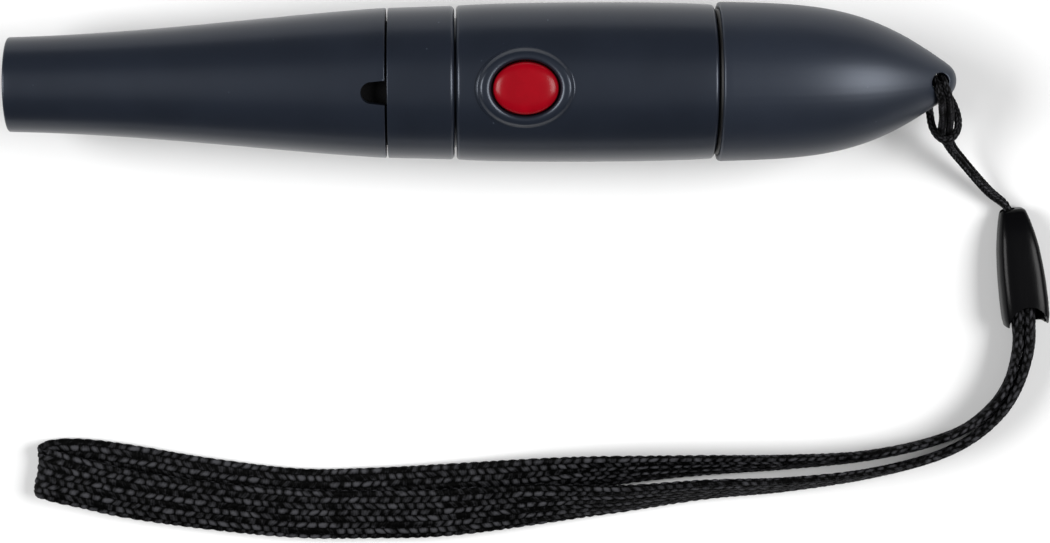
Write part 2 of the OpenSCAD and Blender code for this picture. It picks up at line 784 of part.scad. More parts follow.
// Button: crowned oval top, flange under the body wall and stem on the plunger
module red_button() {
    b = button_w / 2;
    edge_z = button_top - button_crown - button_round;
    crown = concat(
        [[0, flange_z + flange_t / 2]],
        [for (p = arc([button_round, edge_z], button_round, 180, 100, 8)) p],
        [[(b + button_round) / 2, button_top - button_crown / 4]]
    );
    color(red_col) union() {
        at(button_s) lofted([
            for (p = crown) [
                for (i = [0:button_sides - 1]) let (a = 360 * i / button_sides)
                    [(button_len / 2 - p[0]) * cos(a), (b - p[0]) * sin(a), p[1]]
            ]
        ]);
        oval(button_len / 2 + flange_out + button_gap, b + flange_out + button_gap, flange_z, flange_z + flange_t);
        at(button_s, 0, plunger_z1 + touch_gap) cylinder(r = stem_r, h = flange_z - plunger_z1);
    }
}

// Battery tube: bulkhead with cheeks for the board, tube, flange and threaded neck
module battery_tube() {
    ring_s = bulkhead_s1 + tube_front_ring_back;
    fit_r = body_bore_r - press_gap;
    outline = [
        [0, bulkhead_s0],
        [bulkhead_r, bulkhead_s0],
        [bulkhead_r, bulkhead_s1],
        [tube_r, bulkhead_s1],
        [tube_r, ring_s],
        [fit_r, ring_s],
        [fit_r, ring_s + tube_front_ring_len],
        [tube_r, ring_s + tube_front_ring_len],
        [tube_r, body_s1 - tube_flange_len],
        [fit_r, body_s1 - tube_flange_len],
        [fit_r, body_s1],
        [seal_seat_r, body_s1],
        [seal_seat_r, body_s1 + neck_seal_d],
        [thread_core_r, body_s1 + neck_seal_d + thread_core_r / 10],
        [thread_core_r, neck_s1],
        [cell_bore_r, neck_s1],
        [cell_bore_r, bulkhead_s1],
        [0, bulkhead_s1]
    ];
    color(black_col) union() {
        difference() {
            union() {
                turned(outline);
                for (side = [-1, 1]) mirror([0, side < 0 ? 1 : 0, 0]) slab(
                    bulkhead_s0 - cheek_len, bulkhead_s0 + bulkhead_t / 2,
                    cheek_y, cheek_y + cheek_w - slide_gap, -cheek_h / 2, cheek_h / 2
                );
            }
            slab(
                bulkhead_s0 - cheek_len - over, bulkhead_s0 + touch_gap,
                -board_w / 2 - slide_gap, board_w / 2 + slide_gap,
                -board_top - slide_gap, board_top + slide_gap
            );
            slab(
                bulkhead_s0 - over, button_s + hole_a + flange_out + flange_gap, -tube_r, tube_r,
                flange_z - button_travel - flange_gap, body_bore_r
            );
            slab(
                bulkhead_s0 - over, bulkhead_s1 + over,
                contact_tab_y - contact_tab_w / 2 - contact_slot_gap,
                contact_tab_y + contact_tab_w / 2 + contact_slot_gap,
                -board_top - contact_t - contact_slot_gap, -board_top + contact_slot_gap
            );
            slab(
                bulkhead_s0 - over, neck_s1 + over,
                -strip_w / 2 - strip_slot_gap, strip_w / 2 + strip_slot_gap,
                -strip_z - strip_t - strip_slot_gap / 2, -strip_z + 2 * strip_slot_gap + strip_t
            );
        }
        ridge(thread_core_r - ridge_sink, thread_crest_r, thread_s0);
    }
}

// Contacts, strip and cell
module positive_contact() {
    y0 = contact_tab_y - contact_tab_w / 2;
    y1 = contact_tab_y + contact_tab_w / 2;
    color(brass_col) union() {
        at(bulkhead_s1) rotate([0, 90, 0]) cylinder(r = contact_r, h = contact_t);
        slab(
            bulkhead_s0 - contact_tab_len, bulkhead_s1 + contact_t, y0, y1,
            -board_top - contact_t, -board_top
        );
    }
}
module cell_terminal() {
    color(steel_col) at(cell_s0) rotate([0, 90, 0]) cylinder(r = terminal_r, h = terminal_len);
}
module battery_cell() {
    s0 = cell_s0 + terminal_len;
    outline = concat(
        [[0, s0]],
        arc([cell_r - cell_round, s0 + cell_round], cell_round, -90, 0, 4),
        arc([cell_r - cell_round, cell_s1 - cell_round], cell_round, 0, 90, 4),
        [[0, cell_s1]]
    );
    color("#3a5f9a") turned(outline);
}
module ground_strip() {
    half = strip_w / 2;
    leg_s = board_s1 - strip_leg_back;
    color(brass_col) union() {
        slab(leg_s, neck_s1 + strip_t, -half, half, -strip_z - strip_t, -strip_z);
        slab(leg_s, leg_s + strip_t, -half, half, -strip_z - strip_t, -board_top);
        slab(neck_s1, neck_s1 + strip_t, -half, half, -strip_z - strip_tab, -strip_z);
    }
}
module tail_contact_cup() {
    outline = [
        [cup_r - cup_t, cup_s0],
        [cup_flange_r, cup_s0],
        [cup_flange_r, cup_s0 + cup_flange_t],
        [cup_r, cup_s0 + cup_flange_t],
        [cup_r, cup_step_s + cup_t],
        [well_r, cup_step_s + cup_t],
        [well_r, cup_s1],
        [0, cup_s1],
        [0, cup_s1 - cup_t],
        [well_r - cup_t, cup_s1 - cup_t],
        [well_r - cup_t, cup_step_s],
        [cup_r - cup_t, cup_step_s]
    ];
    color(brass_col) turned(outline);
}

// Spring: its gap to itself is measured between neighbouring turns and echoed
function spring_point(a) = let (
    run = spring_len - spring_wire - 2 * touch_gap,
    total = 360 * spring_turns
) [
    cell_s1 + touch_gap + spring_wire / 2 + run * a / total,
    spring_r * sin(a),
    spring_r * cos(a)
];
module tail_spring() {
    steps = spring_steps * spring_turns;
    total = 360 * spring_turns;
    gap = min([for (i = [0:steps - spring_steps]) norm(
        spring_point(total * i / steps) - spring_point(total * i / steps + 360)
    )]) - spring_wire;
    echo(spring_gap = gap);
    color(steel_col) at(0) lofted([
        for (i = [0:steps]) let (
            a = total * i / steps,
            p = spring_point(a),
            t = unit(spring_point(a + 1) - spring_point(a - 1)),
            out = [0, sin(a), cos(a)],
            side = cross(t, out)
        ) [
            for (j = [0:spring_sides - 1]) let (b = 360 * j / spring_sides)
                p + spring_wire / 2 * (cos(b) * out + sin(b) * side)
        ]
    ]);
}

// Thin cord: rings square to the route, turned as little as possible from one to the next
function along(route, i) = unit(route[min(i + 1, len(route) - 1)] - route[max(i - 1, 0)]);
function carried(route, i) = i == 0
    ? unit(cross(along(route, 0), [0, 0, 1]))
    : let (t = along(route, i), n = carried(route, i - 1)) unit(n - (n * t) * t);
module lanyard_cord() {
    color(black_col) lofted([
        for (i = [0:len(cord_route) - 1]) let (
            t = along(cord_route, i),
            n = carried(cord_route, i),
            b = cross(t, n)
        ) [
            for (j = [0:cord_sides - 1]) let (a = 360 * j / cord_sides)
                cord_route[i] + cord_d / 2 * (cos(a) * n + sin(a) * b)
        ]
    ]);
}

// Strap: eight-sided flat rings whose width leans as the route says
strap_route = concat(strap_near, strap_fold, strap_far);
strap_edge_share = 0.5;
function plan_heading(i) = let (
    p = strap_route[min(i + 1, len(strap_route) - 1)],
    q = strap_route[max(i - 1, 0)]
) atan2(p[1] - q[1], p[0] - q[0]);
function strap_heading(i) = i < len(strap_near)
    ? plan_heading(i) - 90
    : i < len(strap_near) + len(strap_fold) ? strap_fold_heading : plan_heading(i) + 90;
function strap_tangent(i) = let (
    p = strap_route[min(i + 1, len(strap_route) - 1)],
    q = strap_route[max(i - 1, 0)]
) unit([p[0] - q[0], p[1] - q[1], p[2] - q[2]]);
module wrist_strap() {
    color(black_col) lofted([
        for (i = [0:len(strap_route) - 1]) let (
            row = strap_route[i],
            h = strap_heading(i),
            across = [cos(row[3]) * cos(h), cos(row[3]) * sin(h), sin(row[3])],
            face = unit(cross(strap_tangent(i), across)),
            w = row[4] / 2,
            t = strap_t / 2,
            e = strap_edge_share * t
        ) [
            for (c = [[w, -e], [w, e], [w - t, t], [t - w, t], [-w, e], [-w, -e], [t - w, -t], [w - t, -t]])
                [row[0], row[1], row[2]] + c[0] * across + c[1] * face
        ]
    ]);
}

// Barrel that slides over the strap's end, and the crimp inside it
function rounded(w, h, n) = [
    for (i = [0:n - 1]) let (a = 360 * i / n)
        [
            w / 2 * sign(cos(a)) * pow(abs(cos(a)), barrel_squareness),
            h / 2 * sign(sin(a)) * pow(abs(sin(a)), barrel_squareness)
        ]
];
module barrel_place() {
    translate([barrel_at[0], barrel_at[1], 0]) rotate([0, 0, barrel_heading]) children();
}
function barrel_ring(row, wall, x) = [
    for (p = rounded(row[1] * barrel_w - 2 * wall, row[2] * barrel_h - 2 * wall, barrel_sides))
        [x, p[0], p[1] + row[2] * barrel_h / 2]
];
module lanyard_barrel() {
    last = barrel_shares[len(barrel_shares) - 1];
    color(black_col) barrel_place() difference() {
        lofted([for (row = barrel_shares) barrel_ring(row, 0, row[0] * barrel_len)]);
        lofted(concat(
            [for (row = barrel_shares) if (row[0] > barrel_bore_share)
                barrel_ring(row, barrel_wall, row[0] * barrel_len)],
            [barrel_ring(last, barrel_wall, barrel_mouth_over * barrel_len)]
        ));
        translate([-over, entry_y, entry_z]) rotate([0, 90, 0]) cylinder(r = entry_r, h = barrel_len / 2);
        translate([barrel_len + arch_out, 0, arch_z]) cylinder(r = arch_r, h = barrel_h);
    }
}
module strap_crimp() {
    s0 = crimp_share * barrel_len;
    color(steel_col) barrel_place() difference() {
        translate([s0, -crimp_w / 2, crimp_z - crimp_h / 2]) cube([crimp_len, crimp_w, crimp_h]);
        for (i = [1:crimp_grooves], side = [-1, 1])
            translate([
                s0 + crimp_len * i / (crimp_grooves + 1),
                0,
                crimp_z + side * (crimp_h / 2 + crimp_round - crimp_groove)
            ]) rotate([90, 0, 0]) cylinder(r = crimp_round, h = crimp_w + 2 * over, center = true);
    }
}

nose();
front_collar();
main_body();
tail_cap();
lamp_holder();
collimator_lens();
led();
led_leads();
nose_seal();
neck_seal();
driver_board();
boost_inductor();
driver_chip();
board_capacitors();
switch_base();
switch_dome();
switch_cover();
switch_terminals();
red_button();
switch_plunger();
battery_tube();
positive_contact();
battery_cell();
cell_terminal();
ground_strip();
tail_contact_cup();
tail_spring();
lanyard_cord();
lanyard_barrel();
strap_crimp();
wrist_strap();
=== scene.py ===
"""Looks of the fibre light injector: smooth moulded shells, a rimmed push button, a glossy
cord barrel, a braided cord and a braided wrist strap, on a white studio floor.
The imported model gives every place; lengths here are in metres in its frame."""

import math

import bpy
import numpy as np
from mathutils import Matrix, Vector


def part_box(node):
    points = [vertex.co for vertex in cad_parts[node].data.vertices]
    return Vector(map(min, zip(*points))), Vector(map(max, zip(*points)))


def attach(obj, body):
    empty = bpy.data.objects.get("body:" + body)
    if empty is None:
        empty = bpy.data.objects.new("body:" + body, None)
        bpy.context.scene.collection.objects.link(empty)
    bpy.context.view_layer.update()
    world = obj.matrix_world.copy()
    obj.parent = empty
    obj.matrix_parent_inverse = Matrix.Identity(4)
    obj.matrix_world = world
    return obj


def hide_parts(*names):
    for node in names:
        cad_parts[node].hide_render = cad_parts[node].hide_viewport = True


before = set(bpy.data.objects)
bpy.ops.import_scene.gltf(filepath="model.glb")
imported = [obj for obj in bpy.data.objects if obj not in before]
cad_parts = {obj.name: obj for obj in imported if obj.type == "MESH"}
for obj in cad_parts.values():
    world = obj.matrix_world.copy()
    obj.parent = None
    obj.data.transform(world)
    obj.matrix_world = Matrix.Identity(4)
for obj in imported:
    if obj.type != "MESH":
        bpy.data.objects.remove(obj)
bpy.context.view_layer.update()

bl_info = {
    "name": "Fibre light injector",
    "version": (1, 0, 0),
    "blender": (4, 5, 0),
    "location": "View3D > Sidebar > Injector",
    "description": "Builds the shells, button, lanyard and studio of a fibre light injector",
    "category": "Object",
}

MM = 0.001
NOSE_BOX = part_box("nose")
BODY_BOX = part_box("main_body")
CAP_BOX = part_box("tail_cap")
COLLAR_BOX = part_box("front_collar")
BUTTON_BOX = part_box("red_button")

MOUTH_X = NOSE_BOX[0][0]
NOSE_END_X = NOSE_BOX[1][0]
BODY_X0 = BODY_BOX[0][0]
BODY_X1 = BODY_BOX[1][0]
CAP_X0 = CAP_BOX[0][0]
CAP_X1 = CAP_BOX[1][0]
AXIS_Z = (CAP_BOX[0][2] + CAP_BOX[1][2]) / 2
BUTTON_X = (BUTTON_BOX[0][0] + BUTTON_BOX[1][0]) / 2
BUTTON_TOP = BUTTON_BOX[1][2] - AXIS_Z

# open joints before and behind the collar, and the small rounding of the edges at the first
JOINT_GAP = 0.3 * MM
JOINT_ROUND = 0.14 * MM
# points closer than this are merged, and no ring is turned smaller than this
WELD = 4e-6
POLE = 1e-6
# the braid's shape and its finish share this: each column starts half a plait after the one
# before it, and the low power keeps the grooves between the columns narrow
PLAIT_STAGGER = 0.5
GROOVE_POWER = 0.4


def linear(code):
    """Linear colour of an sRGB hex value."""
    parts = [int(code[i : i + 2], 16) / 255 for i in (1, 3, 5)]
    return [v / 12.92 if v <= 0.04045 else ((v + 0.055) / 1.055) ** 2.4 for v in parts]


# Sizes and colours that a user would change


def length(label, text, value):
    """A size property in metres."""
    return bpy.props.FloatProperty(
        name=label, description=text, default=value, min=0.0, unit="LENGTH", subtype="DISTANCE", precision=5
    )


def tint(label, text, code):
    """A colour property with an sRGB hex default."""
    return bpy.props.FloatVectorProperty(
        name=label, description=text, default=linear(code), size=3, min=0.0, max=1.0, subtype="COLOR"
    )


class InjectorShells(bpy.types.PropertyGroup):
    nose_tip_radius: length("Mouth radius", "Outer radius of the nose at its mouth", 6.6 * MM)
    nose_rear_radius: length("Nose rear radius", "Outer radius of the nose at the collar", 10.42 * MM)
    mouth_bore_radius: length("Mouth bore", "Radius of the bore that slips over a plug", 5.4 * MM)
    spigot_radius: length("Spigot radius", "Radius of the collar's spigot inside the nose", 8.6 * MM)
    collar_radius: length("Collar radius", "Outer radius of the collar at the body", 10.66 * MM)
    body_radius: length("Body radius", "Largest radius of the body shell", 11.08 * MM)
    body_end_radius: length("Body end radius", "Radius of the body shell at both ends", 10.72 * MM)
    body_bore_radius: length("Body bore", "Inner radius of the body shell", 9.0 * MM)
    cap_radius: length("Cap radius", "Radius of the tail cap at the body", 11.07 * MM)
    cap_tip_radius: length("Cap tip radius", "Radius of the rounded tail tip", 2.8 * MM)
    hole_radius: length("Lanyard hole", "Radius of the hole through the tail tip", 1.3 * MM)
    hole_inset: length("Lanyard hole inset", "Distance of the hole from the end of the tail", 2.7 * MM)
    notch_width: length("Notch width", "Width of the release notch in the nose", 3.64 * MM)
    notch_length: length("Notch length", "Length of the release notch", 3.3 * MM)
    plastic_colour: tint("Shell colour", "Dark blue grey of the moulded shells", "#161a22")
    dust_colour: tint("Dust colour", "Fine pale specks on the moulded shells", "#4b525d")


class InjectorButton(bpy.types.PropertyGroup):
    button_length: length("Button length", "Length of the oval button", 8.9 * MM)
    button_width: length("Button width", "Width of the oval button", 7.14 * MM)
    button_gap: length("Button gap", "Gap round the button in its hole", 0.26 * MM)
    dome_height: length("Dome height", "Height of the button's domed top and edge", 1.3 * MM)
    rim_height: length("Rim height", "Height of the rim above the body", 0.55 * MM)
    button_colour: tint("Button colour", "Deep red of the push button", "#7d0310")


class InjectorLanyard(bpy.types.PropertyGroup):
    cord_diameter: length("Cord diameter", "Diameter of the thin cord", 1.0 * MM)
    strap_thickness: length("Strap thickness", "Thickness of the flat wrist strap", 1.4 * MM)
    cord_pitch: length("Cord pitch", "Length of one plait of the thin cord", 0.7 * MM)
    strap_pitch: length("Strap pitch", "Length of one plait of the strap", 1.5 * MM)
    barrel_length: length("Barrel length", "Length of the cord barrel", 16.7 * MM)
    barrel_width: length("Barrel width", "Greatest width of the cord barrel", 6.6 * MM)
    barrel_height: length("Barrel height", "Greatest height of the cord barrel", 5.9 * MM)
    barrel_wall: length("Barrel wall", "Wall of the cord barrel", 0.55 * MM)
    # painted light and painted shade of the braid: the colour of its lit crests and of its shaded hollows
    yarn_lit_crest_colour: tint("Yarn colour", "Lit crests of the black polyester yarn", "#39393c")
    yarn_painted_hollow_shade: tint("Yarn shade", "Hollows between the yarns", "#020202")
    barrel_colour: tint("Barrel colour", "Glossy black of the cord barrel", "#050506")


class InjectorStudio(bpy.types.PropertyGroup):
    lens_mm: bpy.props.FloatProperty(
        name="Lens", description="Focal length of the camera in millimetres on a 36 mm sensor",
        default=99.43, min=1.0,
    )
    floor_size: length("Floor size", "Side of the square studio floor", 6.0)
    floor_colour: tint("Floor colour", "Pale grey of the studio floor, white when lit", "#d4d4d4")


# Small helpers for modelling


def shells():
    return bpy.context.scene.injector_shells


def button_sizes():
    return bpy.context.scene.injector_button


def lanyard():
    return bpy.context.scene.injector_lanyard


def nothing_selected():
    if bpy.context.object and bpy.context.object.mode != "OBJECT":
        bpy.ops.object.mode_set(mode="OBJECT")
    bpy.ops.object.select_all(action="DESELECT")


def only(piece):
    nothing_selected()
    piece.select_set(True)
    bpy.context.view_layer.objects.active = piece


def fresh(name, scale=(1, 1, 1)):
    """Names and scales the primitive that was just added and puts its place into its mesh."""
    piece = bpy.context.object
    piece.scale = scale
    piece.name = name
    piece.data.name = name
    bpy.ops.object.transform_apply(location=True, rotation=True, scale=True)
    return piece


def smooth(piece, degrees=32):
    only(piece)
    bpy.ops.object.shade_smooth_by_angle(angle=math.radians(degrees), keep_sharp_edges=True)


def bezier(a, b, c, d, count):
    out = []
    for i in range(count + 1):
        t = i / count
        u = 1 - t
        out.append(tuple(
            u**3 * a[k] + 3 * u * u * t * b[k] + 3 * u * t * t * c[k] + t**3 * d[k] for k in (0, 1)
        ))
    return out


def corner(radius, station, size, start, end, count):
    """Rounded corner of an outline, as points of radius and station."""
    out = []
    for i in range(count + 1):
        a = math.radians(start + (end - start) * i / count)
        out.append((radius + size * math.cos(a), station + size * math.sin(a)))
    return out


def extruded(rings):
    """Draws the ring that was just added through the others, step by step. Each is given as its
    centre and its size along the three axes."""
    bpy.ops.object.mode_set(mode="EDIT")
    bpy.ops.mesh.select_all(action="SELECT")
    for (centre, size), (next_centre, next_size) in zip(rings, rings[1:]):
        shift = [b - a for a, b in zip(centre, next_centre)]
        share = [b / a for a, b in zip(size, next_size)]
        bpy.ops.mesh.extrude_region_move(TRANSFORM_OT_translate={"value": shift})
        bpy.ops.transform.resize(value=share, center_override=next_centre)
    bpy.ops.object.mode_set(mode="OBJECT")


def outwards(piece, merge=0.0):
    """Merges the points of a piece that lie closer than a distance, and turns its faces out."""
    only(piece)
    bpy.ops.object.mode_set(mode="EDIT")
    bpy.ops.mesh.select_all(action="SELECT")
    if merge:
        bpy.ops.mesh.remove_doubles(threshold=merge)
    bpy.ops.mesh.normals_make_consistent(inside=False)
    bpy.ops.object.mode_set(mode="OBJECT")


def turned(name, outline, sides):
    """Shell of revolution about the lamp's axis: a circle at the outline's first point of
    radius and station is extruded and resized from point to point. It closes on itself, unless
    it starts on the axis."""
    closing = outline[:1] if outline[0][0] > POLE else []
    rings = [
        ((station, 0, AXIS_Z), (1, max(radius, POLE), max(radius, POLE)))
        for radius, station in outline + closing
    ]
    nothing_selected()
    bpy.ops.mesh.primitive_circle_add(
        vertices=sides, radius=rings[0][1][1], location=rings[0][0], rotation=(0, math.pi / 2, 0)
    )
    piece = fresh(name)
    extruded(rings)
    outwards(piece, WELD)
    return piece


def cut(piece, cutter):
    """Cuts one solid from another and clears the cutter away."""
    only(piece)
    bpy.ops.object.modifier_add(type="BOOLEAN")
    carve = piece.modifiers[-1]
    carve.object = cutter
    carve.operation = "DIFFERENCE"
    carve.solver = "EXACT"
    bpy.ops.object.modifier_apply(modifier=carve.name)
    bpy.data.objects.remove(cutter)


def joined(name, pieces):
    """Joins pieces into the first one."""
    nothing_selected()
    for piece in pieces:
        piece.select_set(True)
    bpy.context.view_layer.objects.active = pieces[0]
    bpy.ops.object.join()
    pieces[0].name = name
    pieces[0].data.name = name
    return pieces[0]


def dress(piece, material, body, slot, *nodes):
    """Gives a finished piece its material and its body, and hides the nodes it stands for. Its slot is not
    used.
    """
    piece.data.materials.clear()
    piece.data.materials.append(material)
    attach(piece, body)
    if nodes:
        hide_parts(*nodes)


# Materials


def add(tree, kind, settings=(), inputs=()):
    """Adds a node, sets its settings, and links or sets its inputs."""
    node = tree.nodes.new(kind)
    for key, value in dict(settings).items():
        setattr(node, key, value)
    for key, value in dict(inputs).items():
        if isinstance(value, bpy.types.NodeSocket):
            tree.links.new(value, node.inputs[key])
        else:
            node.inputs[key].default_value = value
    return node


def new_finish(name, colour, roughness, **sockets):
    """A material with one shader whose uniform numbers are set on its own sockets."""
    material = bpy.data.materials.new(name)
    material.use_nodes = True
    tree = material.node_tree
    shader = tree.nodes["Principled BSDF"]
    shader.inputs["Base Color"].default_value = (*colour, 1)
    shader.inputs["Roughness"].default_value = roughness
    for key, value in sockets.items():
        shader.inputs[key.replace("_", " ")].default_value = value
    return material, tree, shader


def set_ends(ramp, *ends):
    """Sets the places and the colours of a colour ramp's two ends."""
    for element, (position, colour) in zip(ramp.color_ramp.elements, ends):
        element.position = position
        element.color = (*colour, 1)


def grain(tree, shader, size, height, detail=3.0, strength=1.0):
    """Fine relief of noise on the shader's normal, by its real size and height in metres."""
    place = add(tree, "ShaderNodeTexCoord")
    noise = add(
        tree, "ShaderNodeTexNoise", {"noise_dimensions": "3D"},
        {"Vector": place.outputs["Object"], "Scale": 1 / size, "Detail": detail, "Roughness": 0.55},
    )
    bump = add(
        tree, "ShaderNodeBump", {}, {"Height": noise.outputs["Fac"], "Distance": height, "Strength": strength}
    )
    tree.links.new(bump.outputs["Normal"], shader.inputs["Normal"])
    return place, noise


def mottled(tree, shader, place, dark, light, size):
    """Slow change of colour over the surface, between two colours."""
    noise = add(
        tree, "ShaderNodeTexNoise", {"noise_dimensions": "3D"},
        {"Vector": place.outputs["Object"], "Scale": 1 / size, "Detail": 2.0},
    )
    ramp = add(tree, "ShaderNodeValToRGB", {}, {"Fac": noise.outputs["Fac"]})
    set_ends(ramp, (0.35, dark), (0.65, light))
    tree.links.new(ramp.outputs["Color"], shader.inputs["Base Color"])
    return ramp


def grained_finish(name, roughness, colours, grit, height, patch, **sockets):
    """A finish with a fine relief and slow patches: its colours are the mean one, the dark one
    and the light one, and its grit, the relief's height and its patches are in millimetres."""
    mean, dark, light = (linear(code) for code in colours)
    material, tree, shader = new_finish(name, mean, roughness, **sockets)
    place, _ = grain(tree, shader, grit * MM, height * MM)
    mottled(tree, shader, place, dark, light, patch * MM)
    return material


def shaded(colour, share):
    return [min(1.0, v * share) for v in colour]


def moulded_abs(shell=""):
    """ABS moulded in a spark eroded tool: a satin face with a grain that is just too fine to
    see, broad soft highlights, and a few pale specks of dust held by the grain. The cap comes
    from a tool with a coarser spark grain, so it is a little paler and its highlight is broader."""
    name = "moulded_abs_blue_grey" + ("_" + shell if shell else "")
    made = bpy.data.materials.get(name)
    if made:
        return made
    coarse, paler = (0.09, 1.243) if shell == "cap" else (0.0, 1.0)
    base = shaded(shells().plastic_colour, paler)
    material, tree, shader = new_finish(
        name, base, 0.31 + coarse, IOR=1.53, Specular_IOR_Level=0.34,
        Specular_Tint=(0.8, 0.87, 1.0, 1),
    )
    # spark erosion leaves a grain of 0.05 mm; it is drawn at 0.14 mm so that it shows
    place, noise = grain(tree, shader, 0.14 * MM, 0.012 * MM, 2.0, 0.35)
    ramp = mottled(tree, shader, place, shaded(base, 0.94), shaded(base, 1.08), 9 * MM)
    # of cells of 1.5 mm one in seven holds a speck, whose radius is 0.055 of the cell
    cell, speck_radius, bare_share = 1.5 * MM, 0.055, 0.86
    cells = add(
        tree, "ShaderNodeTexVoronoi", {"feature": "F1"},
        {"Vector": place.outputs["Object"], "Scale": 1 / cell, "Randomness": 1.0},
    )
    near = add(
        tree, "ShaderNodeMath", {"operation": "LESS_THAN"}, {0: cells.outputs["Distance"], 1: speck_radius}
    )
    parts = add(tree, "ShaderNodeSeparateColor", {}, {"Color": cells.outputs["Color"]})
    chosen = add(
        tree, "ShaderNodeMath", {"operation": "GREATER_THAN"}, {0: parts.outputs["Red"], 1: bare_share}
    )
    speck = add(tree, "ShaderNodeMath", {"operation": "MULTIPLY"}, {0: near.outputs[0], 1: chosen.outputs[0]})
    faint = add(
        tree, "ShaderNodeMath", {"operation": "MULTIPLY"}, {0: speck.outputs[0], 1: parts.outputs["Green"]}
    )
    mix = add(
        tree, "ShaderNodeMix", {"data_type": "RGBA"},
        {"Factor": faint.outputs[0], "A": ramp.outputs["Color"], "B": (*shells().dust_colour, 1)},
    )
    tree.links.new(mix.outputs["Result"], shader.inputs["Base Color"])
    spread = add(
        tree, "ShaderNodeMapRange", {},
        {"Value": noise.outputs["Fac"], "To Min": 0.28 + coarse, "To Max": 0.34 + coarse},
    )
    tree.links.new(spread.outputs["Result"], shader.inputs["Roughness"])
    return material


def red_abs():
    """ABS moulded in a polished tool: a smooth satin gloss that keeps the edge lights narrow."""
    base = list(button_sizes().button_colour)
    material, tree, shader = new_finish("moulded_abs_red", base, 0.26, IOR=1.53, Specular_IOR_Level=0.13)
    place, _ = grain(tree, shader, 0.3 * MM, 0.008 * MM, 2.0, 0.2)
    mottled(tree, shader, place, shaded(base, 0.93), shaded(base, 1.05), 2.5 * MM)
    return material


def polished_black_abs():
    """ABS from a mirror polished tool: deep black, clear reflections that waver a little where
    the wall sinks, and hair scratches from use."""
    base = list(lanyard().barrel_colour)
    material, tree, shader = new_finish("polished_abs_black", base, 0.25, IOR=1.53, Specular_IOR_Level=0.075)
    place = add(tree, "ShaderNodeTexCoord")
    wave = add(
        tree, "ShaderNodeTexNoise", {},
        {"Vector": place.outputs["Object"], "Scale": 1 / (2.6 * MM), "Detail": 1.0},
    )
    sink = add(
        tree, "ShaderNodeBump", {}, {"Height": wave.outputs["Fac"], "Distance": 0.05 * MM, "Strength": 0.6}
    )
    # the scratches run along the barrel, so their noise is drawn out that way
    lines = add(
        tree, "ShaderNodeMapping", {}, {"Vector": place.outputs["Object"], "Scale": (9.0, 0.7, 3.0)}
    )
    hair = add(
        tree, "ShaderNodeTexNoise", {},
        {"Vector": lines.outputs["Vector"], "Scale": 1 / (1.4 * MM), "Detail": 4.0},
    )
    scratch = add(
        tree, "ShaderNodeBump", {}, {
            "Height": hair.outputs["Fac"], "Distance": 0.01 * MM, "Strength": 0.25,
            "Normal": sink.outputs["Normal"],
        },
    )
    tree.links.new(scratch.outputs["Normal"], shader.inputs["Normal"])
    dull = add(
        tree, "ShaderNodeMapRange", {}, {"Value": hair.outputs["Fac"], "To Min": 0.21, "To Max": 0.3}
    )
    tree.links.new(dull.outputs["Result"], shader.inputs["Roughness"])
    return material


